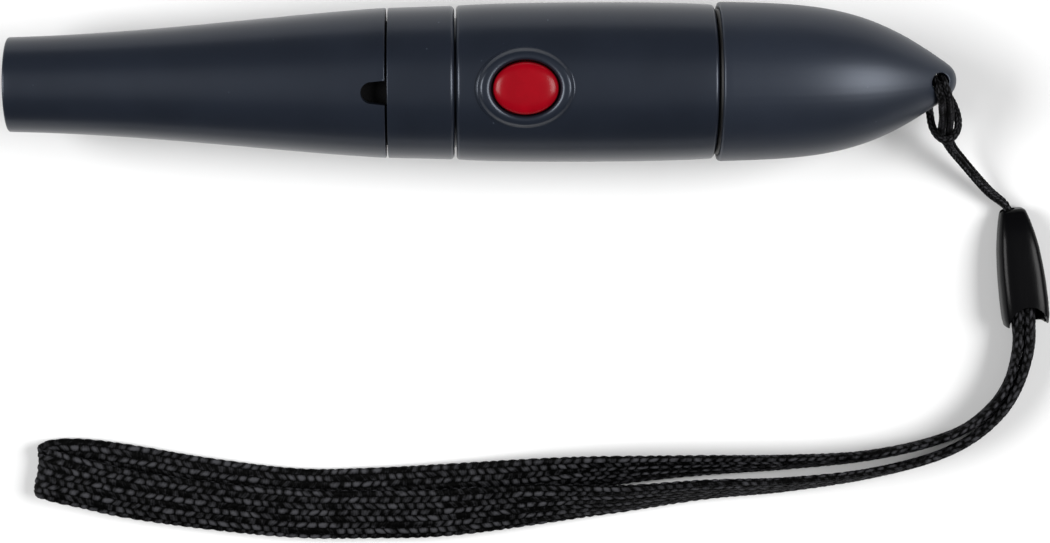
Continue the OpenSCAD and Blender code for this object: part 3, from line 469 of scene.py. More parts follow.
def braided_polyester(name, lean, fibres, relief):
    """Filament polyester braided flat: each plait is a bundle of fine fibres, nearly without
    gloss. Its colour holds painted light and painted shade: dark grey on the crests and black in
    the hollows between the plaits. The pattern follows the piece's own UV map, whose u counts
    the plait columns and whose v counts the plaits along the length."""
    # the crests' painted light and the hollows' painted shade
    light = list(lanyard().yarn_lit_crest_colour)
    dark = list(lanyard().yarn_painted_hollow_shade)
    material, tree, shader = new_finish(name, light, 0.5, IOR=1.57, Specular_IOR_Level=0.02)
    # the height of the plaits, worked out as plait() does for the shape
    chart = add(tree, "ShaderNodeUVMap", {"uv_map": "plaits"})
    axes = add(tree, "ShaderNodeSeparateXYZ", {}, {"Vector": chart.outputs["UV"]})
    across = add(tree, "ShaderNodeMath", {"operation": "PINGPONG"}, {0: axes.outputs["X"], 1: 0.5})
    tilt = add(
        tree, "ShaderNodeMath", {"operation": "MULTIPLY_ADD"},
        {0: across.outputs[0], 1: 2 * lean, 2: axes.outputs["Y"]},
    )
    double = add(tree, "ShaderNodeMath", {"operation": "MULTIPLY"}, {0: axes.outputs["X"], 1: 2.0})
    order = add(tree, "ShaderNodeMath", {"operation": "FLOOR"}, {0: double.outputs[0]})
    stagger = add(
        tree, "ShaderNodeMath", {"operation": "MULTIPLY_ADD"},
        {0: order.outputs[0], 1: PLAIT_STAGGER, 2: tilt.outputs[0]},
    )
    phase = add(tree, "ShaderNodeMath", {"operation": "FRACT"}, {0: stagger.outputs[0]})
    swing = add(
        tree, "ShaderNodeMath", {"operation": "MULTIPLY_ADD"}, {0: phase.outputs[0], 1: 2.0, 2: -1.0}
    )
    square = add(tree, "ShaderNodeMath", {"operation": "POWER"}, {0: swing.outputs[0], 1: 2.0})
    dome = add(
        tree, "ShaderNodeMath", {"operation": "SUBTRACT", "use_clamp": True}, {0: 1.0, 1: square.outputs[0]}
    )
    column = add(
        tree, "ShaderNodeMath", {"operation": "MULTIPLY"}, {0: axes.outputs["X"], 1: 2 * math.pi}
    )
    wave = add(tree, "ShaderNodeMath", {"operation": "SINE"}, {0: column.outputs[0]})
    edge = add(tree, "ShaderNodeMath", {"operation": "ABSOLUTE"}, {0: wave.outputs[0]})
    groove = add(tree, "ShaderNodeMath", {"operation": "POWER"}, {0: edge.outputs[0], 1: GROOVE_POWER})
    height = add(
        tree, "ShaderNodeMath", {"operation": "MULTIPLY"}, {0: dome.outputs[0], 1: groove.outputs[0]}
    )
    # fibres along the plaits, and loose ones that lie as they like; a filament is 0.02 mm thick,
    # so both are drawn as bundles that are coarse enough to show
    thread = add(
        tree, "ShaderNodeMath", {"operation": "MULTIPLY"}, {0: tilt.outputs[0], 1: 2 * math.pi * fibres}
    )
    fine = add(tree, "ShaderNodeMath", {"operation": "SINE"}, {0: thread.outputs[0]})
    place = add(tree, "ShaderNodeTexCoord")
    loose = add(
        tree, "ShaderNodeTexNoise", {},
        {"Vector": place.outputs["Object"], "Scale": 1 / (0.25 * MM), "Detail": 3.0},
    )
    # some plaits stand higher than others in the relief, and are painted lighter in the colour
    patch = add(
        tree, "ShaderNodeTexNoise", {},
        {"Vector": place.outputs["Object"], "Scale": 1 / (1.3 * MM), "Detail": 1.0},
    )
    uneven = add(
        tree, "ShaderNodeMapRange", {}, {
            "Value": patch.outputs["Fac"], "From Min": 0.3, "From Max": 0.7, "To Min": 0.35, "To Max": 1.1,
        },
    )
    # the yarns of every other column lean the other way, and one or the other is painted lighter, in colour
    # and relief, changing slowly along the braid
    drift = add(
        tree, "ShaderNodeTexNoise", {},
        {"Vector": place.outputs["Object"], "Scale": 1 / (9 * MM), "Detail": 1.0},
    )
    chosen = add(
        tree, "ShaderNodeMapRange", {}, {
            "Value": drift.outputs["Fac"], "From Min": 0.35, "From Max": 0.65, "To Min": -0.5, "To Max": 0.5,
        },
    )
    painted_column_light = add(
        tree, "ShaderNodeMath", {"operation": "MULTIPLY_ADD"},
        {0: wave.outputs[0], 1: chosen.outputs["Result"], 2: 0.75},
    )
    lit = add(
        tree, "ShaderNodeMath", {"operation": "MULTIPLY"}, {0: uneven.outputs["Result"], 1: painted_column_light.outputs[0]}
    )
    height_with_painted_light = add(tree, "ShaderNodeMath", {"operation": "MULTIPLY"}, {0: height.outputs[0], 1: lit.outputs[0]})
    fuzz = add(
        tree, "ShaderNodeMath", {"operation": "MULTIPLY_ADD"},
        {0: fine.outputs[0], 1: 0.05, 2: height_with_painted_light.outputs[0]},
    )
    rough = add(
        tree, "ShaderNodeMath", {"operation": "MULTIPLY_ADD"},
        {0: loose.outputs["Fac"], 1: 0.3, 2: fuzz.outputs[0]},
    )
    bump = add(
        tree, "ShaderNodeBump", {}, {"Height": rough.outputs[0], "Distance": relief, "Strength": 0.9}
    )
    tree.links.new(bump.outputs["Normal"], shader.inputs["Normal"])
    # painted shade and painted light: the colour follows the relief, black in its hollows and dark grey on
    # its crests
    ramp = add(tree, "ShaderNodeValToRGB", {}, {"Fac": rough.outputs[0]})
    set_ends(ramp, (0.34, dark), (1.0, light))
    tree.links.new(ramp.outputs["Color"], shader.inputs["Base Color"])
    return material


# Routes of the lanyard, as in the part's source, in millimetres

CORD_ROUTE = [
    [76.1, -24.6, 2], [75.7, -21.9, 2], [75.4, -19.2, 2], [72.4, -16.7, 2.4], [68, -12, 4.7],
    [66.1, -9.9, 6.2], [64.8, -7.8, 7.4], [64.4, -5.3, 10.2], [63.9, -3.7, 12.5], [63.5, -2.3, 14.3],
    [63, -1.1, 14.9], [62.8, -0.3, 14.4], [62.7, 0.1, 13.2], [62.7, 0.1, 11.1], [62.7, 0, 8.8],
    [62.7, -0.5, 7.3], [62.7, -1.7, 6.5], [62.9, -3.2, 6.5], [63.1, -4.9, 7], [63.3, -6.5, 7.6],
    [64, -7.9, 8.3], [65.2, -8.6, 8.6], [66.3, -8, 8.4], [67, -6.6, 7.7], [66.8, -4.7, 7],
    [66, -2.9, 6.6], [64.8, -1.6, 6.5], [63.9, -0.6, 7.2], [63.8, -0.1, 8.6], [63.8, 0.1, 11.1],
    [63.8, 0.1, 13.2], [63.9, -0.3, 14.2], [64.2, -1.1, 14.6], [64.6, -2.2, 13.8], [65, -3.5, 12.3],
    [65.5, -5.3, 10], [65.9, -7.6, 7], [66.6, -9.5, 5.1], [68.3, -11.6, 3.6], [72.7, -16.4, 1.4],
    [75.4, -19, 0.95], [75.7, -21.9, 0.9], [76.1, -24.6, 0.9],
]
# each row holds a place, the lean of the width from flat in degrees, and the width
STRAP_NEAR = [
    [77.8, -28.2, 2.7, 90, 3.9], [78.2, -31.6, 2.8, 86, 4.1], [78.6, -35.4, 2.8, 82, 4.2],
    [78.7, -38.4, 3, 80, 4.5], [78.2, -41.6, 3, 78, 4.9], [77, -45.2, 3, 76, 5.3],
    [75, -48.5, 3, 76, 5.6], [71.1, -52.1, 3.1, 76, 5.8], [66, -54.8, 3.1, 76, 6],
    [56.2, -57.4, 3.2, 74, 6.2], [44, -59, 3.3, 66, 6.5], [32, -59.7, 3.4, 58, 6.8],
    [20, -61, 3.3, 48, 7.2], [13.5, -61.4, 3.2, 38, 7.4], [7, -61.9, 3, 27, 7.6],
    [-6.5, -63.1, 2.8, 12, 7.6], [-16.7, -63.3, 2.6, 10, 7.6], [-26.6, -63.2, 2.6, 10, 7.6],
    [-40.5, -61.8, 2.6, 10, 7.6], [-52.4, -59.9, 2.7, 8, 7.6], [-57.6, -58.6, 2.8, 6, 7.6],
]
STRAP_FOLD = [
    [-60.8, -57.8, 2.9, 2, 7.6], [-62.8, -57.2, 2.9, 0, 7.6], [-63.7, -57, 2.5, 0, 7.6],
    [-64, -56.8, 1.9, 0, 7.6], [-63.6, -56.5, 1.3, 0, 7.6], [-62.7, -56.2, 0.9, 0, 7.6],
    [-60.7, -56, 0.8, 0, 7.6],
]
STRAP_FAR = [
    [-57.6, -56.1, 0.8, 0, 7.6], [-52.4, -56.8, 0.8, 0, 7.6], [-40.5, -58.9, 0.8, 0, 7.6],
    [-26.6, -60.6, 0.8, 0, 7.6], [-16.7, -60.5, 0.9, 2, 7.6], [-6.5, -59.9, 1.2, 6, 7.6],
    [7, -58.6, 2.1, 20, 7.6], [13.5, -57.6, 2.7, 34, 7.4], [20, -56.8, 3.2, 47, 7.2],
    [32, -56.1, 3.4, 58, 6.8], [44, -55.7, 3.3, 66, 6.5], [55.7, -54.8, 3.2, 74, 6.2],
    [65, -52.8, 3.1, 76, 6], [70, -50.7, 3.1, 76, 5.8], [73.9, -47.3, 3, 76, 5.6],
    [75.8, -44.2, 3, 76, 5.3], [76.7, -41.1, 3, 78, 4.9], [77.1, -38.1, 3, 80, 4.5],
    [77, -35.4, 2.8, 82, 4.2], [76.6, -31.7, 2.8, 86, 4.1], [76.1, -28.4, 2.7, 90, 3.9],
]
# where the strap's width points in the fold, in degrees
STRAP_FOLD_HEADING = 78
# the place of the barrel's small end, and where the barrel points
BARREL_AT = (76.05 * MM, -19.15 * MM)
BARREL_HEADING = math.radians(-82.6)
# shares of the barrel's length, of its greatest width and of its greatest height
BARREL_TAPER = np.array([
    [0, 0.5, 0.46], [0.03, 0.56, 0.53], [0.1, 0.66, 0.64], [0.2, 0.77, 0.76], [0.33, 0.88, 0.86],
    [0.55, 0.975, 0.95], [0.78, 1, 1], [0.93, 0.99, 0.99], [1, 0.92, 0.93],
])


def rounded_route(rows, step):
    """Rows of values on one smooth curve through the given rows, evenly spaced by their place."""
    rows = np.array(rows, float)
    gaps = np.sqrt(np.linalg.norm(np.diff(rows[:, :3], axis=0), axis=1))
    knots = np.concatenate([[0], np.cumsum(gaps)])
    slopes = np.gradient(rows, knots, axis=0)
    dense = []
    for i in range(len(rows) - 1):
        span = knots[i + 1] - knots[i]
        for t in np.linspace(0, 1, 60, endpoint=False):
            h0, h1 = (1 + 2 * t) * (1 - t) ** 2, t * t * (3 - 2 * t)
            g0, g1 = t * (1 - t) ** 2, t * t * (t - 1)
            dense.append(h0 * rows[i] + h1 * rows[i + 1] + span * (g0 * slopes[i] + g1 * slopes[i + 1]))
    dense.append(rows[-1])
    dense = np.array(dense)
    run = np.concatenate([[0], np.cumsum(np.linalg.norm(np.diff(dense[:, :3], axis=0), axis=1))])
    count = int(round(run[-1] / step))
    marks = np.linspace(0, run[-1], count + 1)
    even = np.array([np.interp(marks, run, dense[:, k]) for k in range(dense.shape[1])]).T
    return even, run[-1]


def directions(path):
    """Unit vectors along a path of points."""
    ahead = np.gradient(path, axis=0)
    return ahead / np.linalg.norm(ahead, axis=1)[:, None]


def plait(u, v, lean):
    """Height of the braid from 0 to 1, where u counts columns and v counts plaits."""
    across = np.abs(np.mod(u + 0.5, 1.0) - 0.5) * 2
    phase = np.mod(v + lean * across + PLAIT_STAGGER * np.floor(2 * u), 1.0)
    crest = np.clip(1 - (2 * phase - 1) ** 2, 0, 1)
    return crest * np.power(np.abs(np.sin(2 * math.pi * u)), GROOVE_POWER)


def plait_counts(columns, sides, along, pitch):
    """Counts of columns round a braid, and for every ring of plaits along each of them. The
    yarns have slipped a little, in two waves that are each given by their reach, their turns to
    a plait and their turns round the braid."""
    u_row = np.linspace(0, columns, sides + 1) / 2
    turn = 2 * math.pi * u_row / u_row[-1]
    v_rows = []
    for v in along / pitch:
        slipped = v
        for reach, lengthwise, around in ((0.17, 0.13, 3), (0.08, 0.37, -5)):
            slipped = slipped + reach * np.sin(2 * math.pi * lengthwise * v + around * turn)
        v_rows.append(slipped)
    return u_row, v_rows


def woven_skin(name, rings, u_row, v_rows):
    """Closed tube over rings of points, with a UV map that counts its plaits."""
    count, sides = len(rings), len(rings[0])
    verts = [tuple(p) for ring in rings for p in ring]
    faces = [
        (i * sides + j, i * sides + (j + 1) % sides, (i + 1) * sides + (j + 1) % sides, (i + 1) * sides + j)
        for i in range(count - 1) for j in range(sides)
    ]
    faces.append(tuple(reversed(range(sides))))
    faces.append(tuple((count - 1) * sides + j for j in range(sides)))
    mesh = bpy.data.meshes.new(name)
    mesh.from_pydata(verts, [], faces)
    chart = mesh.uv_layers.new(name="plaits")
    values = []
    for i in range(count - 1):
        for j in range(sides):
            values += [
                u_row[j], v_rows[i][j], u_row[j + 1], v_rows[i][j + 1],
                u_row[j + 1], v_rows[i + 1][j + 1], u_row[j], v_rows[i + 1][j],
            ]
    values += [0.25, v_rows[0][0]] * sides + [0.25, v_rows[-1][0]] * sides
    chart.data.foreach_set("uv", values)
    mesh.polygons.foreach_set("use_smooth", [True] * len(mesh.polygons))
    mesh.update()
    piece = bpy.data.objects.new(name, mesh)
    bpy.context.scene.collection.objects.link(piece)
    outwards(piece)
    return piece


# The pieces


class INJECTOR_OT_camera(bpy.types.Operator):
    """Place the camera where the photograph was taken from"""

    bl_idname = "injector.camera"
    bl_label = "Camera"

    def execute(self, context):
        # the photograph was taken from straight above but for these two angles
        tilt, roll = math.radians(8.0), math.radians(0.25)
        level = Vector((0, math.cos(tilt), -math.sin(tilt)))
        right = math.cos(roll) * Vector((1, 0, 0)) - math.sin(roll) * level
        up = math.sin(roll) * Vector((1, 0, 0)) + math.cos(roll) * level
        back = Vector((0, math.sin(tilt), math.cos(tilt)))
        place = Vector((-3.92 * MM, 30.18 * MM, 414.8 * MM))
        # the photograph's middle lies this many pixels to the right of the camera's axis
        aside, photo_width = 70, 1050
        data = bpy.data.cameras.new("photo_camera")
        camera = bpy.data.objects.new("photo_camera", data)
        context.scene.collection.objects.link(camera)
        data.lens = context.scene.injector_studio.lens_mm
        data.sensor_width = 36.0
        data.sensor_fit = "HORIZONTAL"
        data.shift_x = aside / photo_width
        data.clip_start = 0.01
        data.clip_end = 20.0
        data.dof.use_dof = False
        turn = Matrix((right, up, back)).transposed().to_4x4()
        camera.matrix_world = Matrix.Translation(place) @ turn
        context.scene.camera = camera
        return {"FINISHED"}


class INJECTOR_OT_cord(bpy.types.Operator):
    """Braid the thin cord through the tail's hole as a girth hitch"""

    bl_idname = "injector.cord"
    bl_label = "Thin cord"

    def execute(self, context):
        sides, columns, lean, relief, middle = 48, 8, 0.7, 0.1 * MM, 0.3
        # side by side in the hole the two strands are squeezed and spread across it
        reach, squeeze, falloff = 1.2 * MM, 0.75, 2.2 * MM
        rows, run = rounded_route(CORD_ROUTE, 0.12)
        rows = rows * MM
        radius = lanyard().cord_diameter / 2
        hole_x = CAP_X1 - shells().hole_inset
        ahead = directions(rows)
        normal = np.cross(ahead[0], [0, 0, 1])
        angles = np.linspace(0, 2 * math.pi, sides, endpoint=False)
        along = np.linspace(0, run * MM, len(rows))
        u_row, v_rows = plait_counts(columns, sides, along, lanyard().cord_pitch)
        rings = []
        for i, place in enumerate(rows):
            normal = normal - np.dot(normal, ahead[i]) * ahead[i]
            normal /= np.linalg.norm(normal)
            side = np.cross(ahead[i], normal)
            size = radius + relief * (plait(u_row[:-1], v_rows[i][:-1], lean) - middle)
            ring = (np.cos(angles) * size)[:, None] * normal + (np.sin(angles) * size)[:, None] * side
            if math.hypot(place[0] - hole_x, place[1]) < reach:
                ring[:, 1] *= 1 + squeeze * math.exp(-(((place[2] - AXIS_Z) / falloff) ** 2))
            rings.append(place + ring)
        piece = woven_skin("thin_cord", rings, u_row, v_rows)
        dress(piece, braided_polyester("braided_polyester_cord", lean, 3, relief), "cap",
              "lanyard_fabric", "lanyard_cord")
        return {"FINISHED"}


class INJECTOR_OT_strap(bpy.types.Operator):
    """Braid the flat wrist strap along its loop"""

    bl_idname = "injector.strap"
    bl_label = "Wrist strap"

    def execute(self, context):
        sides, columns, lean, relief, middle = 80, 16, 0.3, 0.2 * MM, 0.25
        # gathered for the barrel's narrow mouth, the strap's ends are thick and round
        gather, gather_run = 0.85 * MM, 8 * MM
        above_floor = 0.03 * MM
        route = np.array(STRAP_NEAR + STRAP_FOLD + STRAP_FAR, float)
        count, near = len(route), len(STRAP_NEAR)
        # the width points to the right of the way out and to the left of the way back, so that
        # it keeps its side through the fold
        headings = []
        for i in range(count):
            p, q = route[min(i + 1, count - 1)], route[max(i - 1, 0)]
            plan = math.degrees(math.atan2(p[1] - q[1], p[0] - q[0]))
            if i < near:
                headings.append(plan - 90)
            elif i < near + len(STRAP_FOLD):
                headings.append(STRAP_FOLD_HEADING)
            else:
                headings.append(plan + 90)
        headings = np.degrees(np.unwrap(np.radians(headings)))
        rows, run = rounded_route(np.column_stack([route, headings]), 0.3)
        thickness = lanyard().strap_thickness - relief
        path = rows[:, :3] * MM
        ahead = directions(path)
        along = np.linspace(0, run * MM, len(rows))
        u_row, v_rows = plait_counts(columns, sides, along, lanyard().strap_pitch)
        rings = []
        for i, row in enumerate(rows):
            width, roll, heading = row[4] * MM - relief, math.radians(row[3]), math.radians(row[5])
            across = np.array([
                math.cos(roll) * math.cos(heading), math.cos(roll) * math.sin(heading), math.sin(roll)
            ])
            across -= np.dot(across, ahead[i]) * ahead[i]
            across /= np.linalg.norm(across)
            face = np.cross(ahead[i], across)
            gathered = math.exp(-((min(along[i], along[-1] - along[i]) / gather_run) ** 2))
            ring, outward = flat_section(width, thickness + gather * gathered, sides)
            lift = relief * (plait(u_row[:-1], v_rows[i][:-1], lean) - middle)
            ring = ring + outward * lift[:, None]
            points = path[i] + ring[:, :1] * across + ring[:, 1:] * face
            points[:, 2] = np.maximum(points[:, 2], above_floor)
            rings.append(points)
        piece = woven_skin("wrist_strap_braid", rings, u_row, v_rows)
        dress(piece, braided_polyester("braided_polyester_strap", lean, 4, 0.16 * MM), "cap",
              "lanyard_fabric", "wrist_strap")
        return {"FINISHED"}


def flat_section(width, thickness, sides):
    """Evenly spaced points of a flat oval with full edges, and its outward directions."""
    full_edge, full_face = 0.6, 0.8
    a = np.linspace(0, 2 * math.pi, 721)
    c, s = np.cos(a), np.sin(a)
    dense = np.column_stack([
        width / 2 * np.sign(c) * np.abs(c) ** full_edge, thickness / 2 * np.sign(s) * np.abs(s) ** full_face
    ])
    run = np.concatenate([[0], np.cumsum(np.linalg.norm(np.diff(dense, axis=0), axis=1))])
    marks = np.linspace(0, run[-1], sides + 1)[:-1]
    ring = np.column_stack([np.interp(marks, run, dense[:, 0]), np.interp(marks, run, dense[:, 1])])
    step = np.roll(ring, -1, axis=0) - np.roll(ring, 1, axis=0)
    step /= np.linalg.norm(step, axis=1)[:, None]
    return ring, np.column_stack([step[:, 1], -step[:, 0]])


class INJECTOR_OT_nose(bpy.types.Operator):
    """Turn the hollow flared nose and cut its release notch"""

    bl_idname = "injector.nose"
    bl_label = "Nose"

    def execute(self, context):
        s = shells()
        run = NOSE_END_X - MOUTH_X
        tip, rear = s.nose_tip_radius, s.nose_rear_radius
        tip_slope, rear_slope = math.tan(math.radians(1.15)), math.tan(math.radians(3.4))
        round_tip, round_rear = 0.32 * MM, JOINT_ROUND
        outline = corner(tip - round_tip, MOUTH_X + round_tip, round_tip, -90, 0, 6)
        outline += bezier(
            (tip, MOUTH_X + round_tip),
            (tip + tip_slope * 0.36 * run, MOUTH_X + 0.36 * run),
            (rear - rear_slope * 0.29 * run, MOUTH_X + 0.71 * run),
            (rear, NOSE_END_X - round_rear), 48,
        )[1:-1]
        outline += corner(rear - round_rear, NOSE_END_X - round_rear, round_rear, 0, 90, 6)
        # the hollow: a slide on the spigot with a small lead, a seat, a cone, the mouth's bore
        # and the bore's rounded rim
        slide, slide_run, lead = s.spigot_radius + 0.05 * MM, 10.25 * MM, 0.12 * MM
        seat, cone = MOUTH_X + run - slide_run + JOINT_GAP, 7.6 * MM
        bore, bore_run = s.mouth_bore_radius, 10 * MM
        outline += [
            (slide + lead, NOSE_END_X),
            (slide, NOSE_END_X - lead),
            (slide, seat),
            (cone, seat),
            (bore, MOUTH_X + bore_run),
        ]
        outline += [
            (bore + wider * MM, MOUTH_X + back * MM)
            for wider, back in ((0, 0.4), (0.06, 0.2), (0.2, 0.03), (0.34, 0))
        ]
        piece = turned("nose_shell", outline, 160)
        cut(piece, notch_cutter(NOSE_END_X + MM))
        smooth(piece)
        dress(piece, moulded_abs(), "nose_sleeve", "shell_plastic", "nose")
        return {"FINISHED"}


def notch_cutter(end):
    """Slot with a round front that widens a little towards its flat end, rolled a little
    about the lamp's axis."""
    s = shells()
    half = s.notch_width / 2
    tip = 0.83 * half
    front = NOSE_END_X - s.notch_length + tip
    above_spigot = AXIS_Z + 10.3 * MM
    roll = math.radians(3.4)
    nothing_selected()
    bpy.ops.mesh.primitive_cylinder_add(
        vertices=64, radius=tip, depth=5 * MM, location=(front, 0, above_spigot)
    )
    slot = fresh("notch_cutter")
    bpy.ops.object.mode_set(mode="EDIT")
    bpy.ops.mesh.select_all(action="DESELECT")
    bpy.ops.object.mode_set(mode="OBJECT")
    # the round side that faces the tail is drawn out to the end, and is flat and wider there
    for face in slot.data.polygons:
        face.select = abs(face.normal.z) < 0.5 and face.normal.x > 0.001
    bpy.ops.object.mode_set(mode="EDIT")
    bpy.ops.mesh.extrude_region_move(TRANSFORM_OT_translate={"value": (end - front, 0, 0)})
    bpy.ops.transform.resize(value=(0, half / tip, 1), center_override=(end, 0, AXIS_Z))
    bpy.ops.object.mode_set(mode="OBJECT")
    outwards(slot)
    axis = Matrix.Translation((0, 0, AXIS_Z))
    slot.data.transform(axis @ Matrix.Rotation(roll, 4, "X") @ axis.inverted())
    return slot


class INJECTOR_OT_collar(bpy.types.Operator):
    """Turn the collar ring with its spigot and its plug"""

    bl_idname = "injector.collar"
    bl_label = "Collar"

    def execute(self, context):
        s = shells()
        low, high = COLLAR_BOX[0][0], COLLAR_BOX[1][0]
        front, rear = NOSE_END_X + JOINT_GAP, BODY_X0 - JOINT_GAP
        # the spigot with its groove for the seal ring
        spigot, lead, spigot_bore = s.spigot_radius, 0.3 * MM, 6.7 * MM
        groove, groove_end, groove_radius = low + 3.3 * MM, low + 3.3 * MM + 0.9 * MM, spigot - 0.83 * MM
        outline = [
            (spigot_bore, low), (spigot - lead, low), (spigot, low + lead),
            (spigot, groove), (groove_radius, groove), (groove_radius, groove_end), (spigot, groove_end),
            (spigot, front),
        ]
        round_rear = 0.65 * MM
        outline += corner(s.nose_rear_radius - JOINT_ROUND, front + JOINT_ROUND, JOINT_ROUND, -90, 0, 6)
        outline += corner(s.collar_radius - round_rear, rear - round_rear, round_rear, 0, 90, 12)
        # the plug that goes into the body, and the way through
        plug, plug_lead, plug_bore = s.body_bore_radius - 0.03 * MM, 0.2 * MM, 7.3 * MM
        step = low + 0.4 * MM
        outline += [
            (plug, rear), (plug, high - plug_lead), (plug - plug_lead, high), (plug_bore, high),
            (plug_bore, step), (spigot_bore, step),
        ]
        piece = turned("collar_ring", outline, 160)
        cut(piece, notch_cutter(front + 0.02 * MM))
        smooth(piece)
        dress(piece, moulded_abs(), "lamp_body", "shell_plastic", "front_collar")
        # the spigot's faces, seen only through the notch in the nose, get a painted shade of matt black
        piece.data.materials.append(self.spigot_painted_shade())
        for face in piece.data.polygons:
            if math.hypot(face.center.y, face.center.z - AXIS_Z) < spigot + 0.1 * MM:
                face.material_index = 1
        return {"FINISHED"}

    def spigot_painted_shade(self):
        """Painted shade on the hidden spigot: matt and black, so that the notch in the nose shows as a dark
        hollow.
        """
        return grained_finish(
            "spigot_painted_shade_core", 0.7, ("#050506", "#040405", "#070708"), 0.2, 0.02, 2,
            IOR=1.53, Specular_IOR_Level=0.1,
        )


class INJECTOR_OT_body(bpy.types.Operator):
    """Turn the body shell and raise the oval rim of the button on it"""

    bl_idname = "injector.body"
    bl_label = "Body shell and rim"

    def execute(self, context):
        s, b = shells(), button_sizes()
        end = s.body_end_radius
        crown = end + (s.body_radius - end) * 4 / 3
        run = BODY_X1 - BODY_X0
        front, rear, bore = 0.22 * MM, 0.5 * MM, s.body_bore_radius
        outline = [(bore, BODY_X0)]
        # the front edge is a soft roll, given in shares of its size
        outline += [
            (end - less * front, BODY_X0 + back * front)
            for less, back in ((2, 0), (1.2, 0.2), (0.55, 0.75), (0.15, 1.4))
        ]
        outline += bezier(
            (end, BODY_X0 + 2.2 * front), (crown, BODY_X0 + run / 5), (crown, BODY_X1 - run / 5),
            (end, BODY_X1 - rear), 40,
        )[:-1]
        outline += corner(end - rear, BODY_X1 - rear, rear, 0, 90, 10)
        outline += [(bore, BODY_X1)]
        piece = turned("body_shell", outline, 192)
        hole_a = b.button_length / 2 + b.button_gap
        hole_b = b.button_width / 2 + b.button_gap
        # the shell's own hole ends under the middle of the rim
        under_a, under_b = 1.0 * MM, 0.9 * MM
        nothing_selected()
        bpy.ops.mesh.primitive_cylinder_add(
            vertices=128, radius=1, depth=14 * MM, location=(BUTTON_X, 0, AXIS_Z + 8 * MM)
        )
        cut(piece, fresh("button_cutter", (hole_a + under_a, hole_b + under_b, 1)))
        rim = self.rim(hole_a, hole_b, s.body_radius, b.rim_height)
        smooth(rim, 40)
        smooth(piece)
        piece = joined("body_shell", [piece, rim])
        dress(piece, moulded_abs(), "lamp_body", "shell_plastic", "main_body")
        return {"FINISHED"}

    def rim(self, hole_a, hole_b, radius, lift):
        """Ring from an oval that is extruded outwards step by step and then wrapped on the body.
        Each row holds how far it lies outside the hole, lengthwise and across, and its height
        over the body, in millimetres."""
        rows = [
            (0, 0, -3.2), (0, 0, -0.45), (0.03, 0.03, -0.1), (0.09, 0.09, 0.13), (0.18, 0.18, 0.29),
            (0.3, 0.3, 0.4), (0.44, 0.44, 0.48), (0.6, 0.6, 0.53), (0.78, 0.76, 0.55), (0.98, 0.93, 0.55),
            (1.14, 1.05, 0.54), (1.28, 1.15, 0.515), (1.4, 1.24, 0.46), (1.5, 1.31, 0.385),
            (1.6, 1.38, 0.29), (1.7, 1.45, 0.185), (1.79, 1.51, 0.09), (1.85, 1.55, 0.04),
            (1.91, 1.59, 0.01), (1.99, 1.64, -0.005), (2.08, 1.7, -0.03), (2.12, 1.73, -0.45),
            (1.7, 1.6, -0.9), (1.6, 1.5, -3.2),
        ]
        share = lift / (max(row[2] for row in rows) * MM)
        foot_depth, foot_radius = 2 * MM, 7.9 * MM
        rings = [
            ((BUTTON_X, 0, high * MM), (hole_a + out_a * MM, hole_b + out_b * MM, 1))
            for out_a, out_b, high in rows + rows[:1]
        ]
        nothing_selected()
        bpy.ops.mesh.primitive_circle_add(vertices=144, radius=1, location=rings[0][0])
        rim = fresh("button_rim", rings[0][1])
        extruded(rings)
        outwards(rim, WELD)
        # the flat ring is wrapped on the round body here, because bend needs a window
        for vert in rim.data.vertices:
            height = vert.co.z * (share if vert.co.z > 0 else 1)
            if height < -foot_depth:
                vert.co.z = AXIS_Z + foot_radius
            else:
                vert.co.z = AXIS_Z + math.sqrt((radius + height) ** 2 - vert.co.y**2)
        outwards(rim)
        return rim


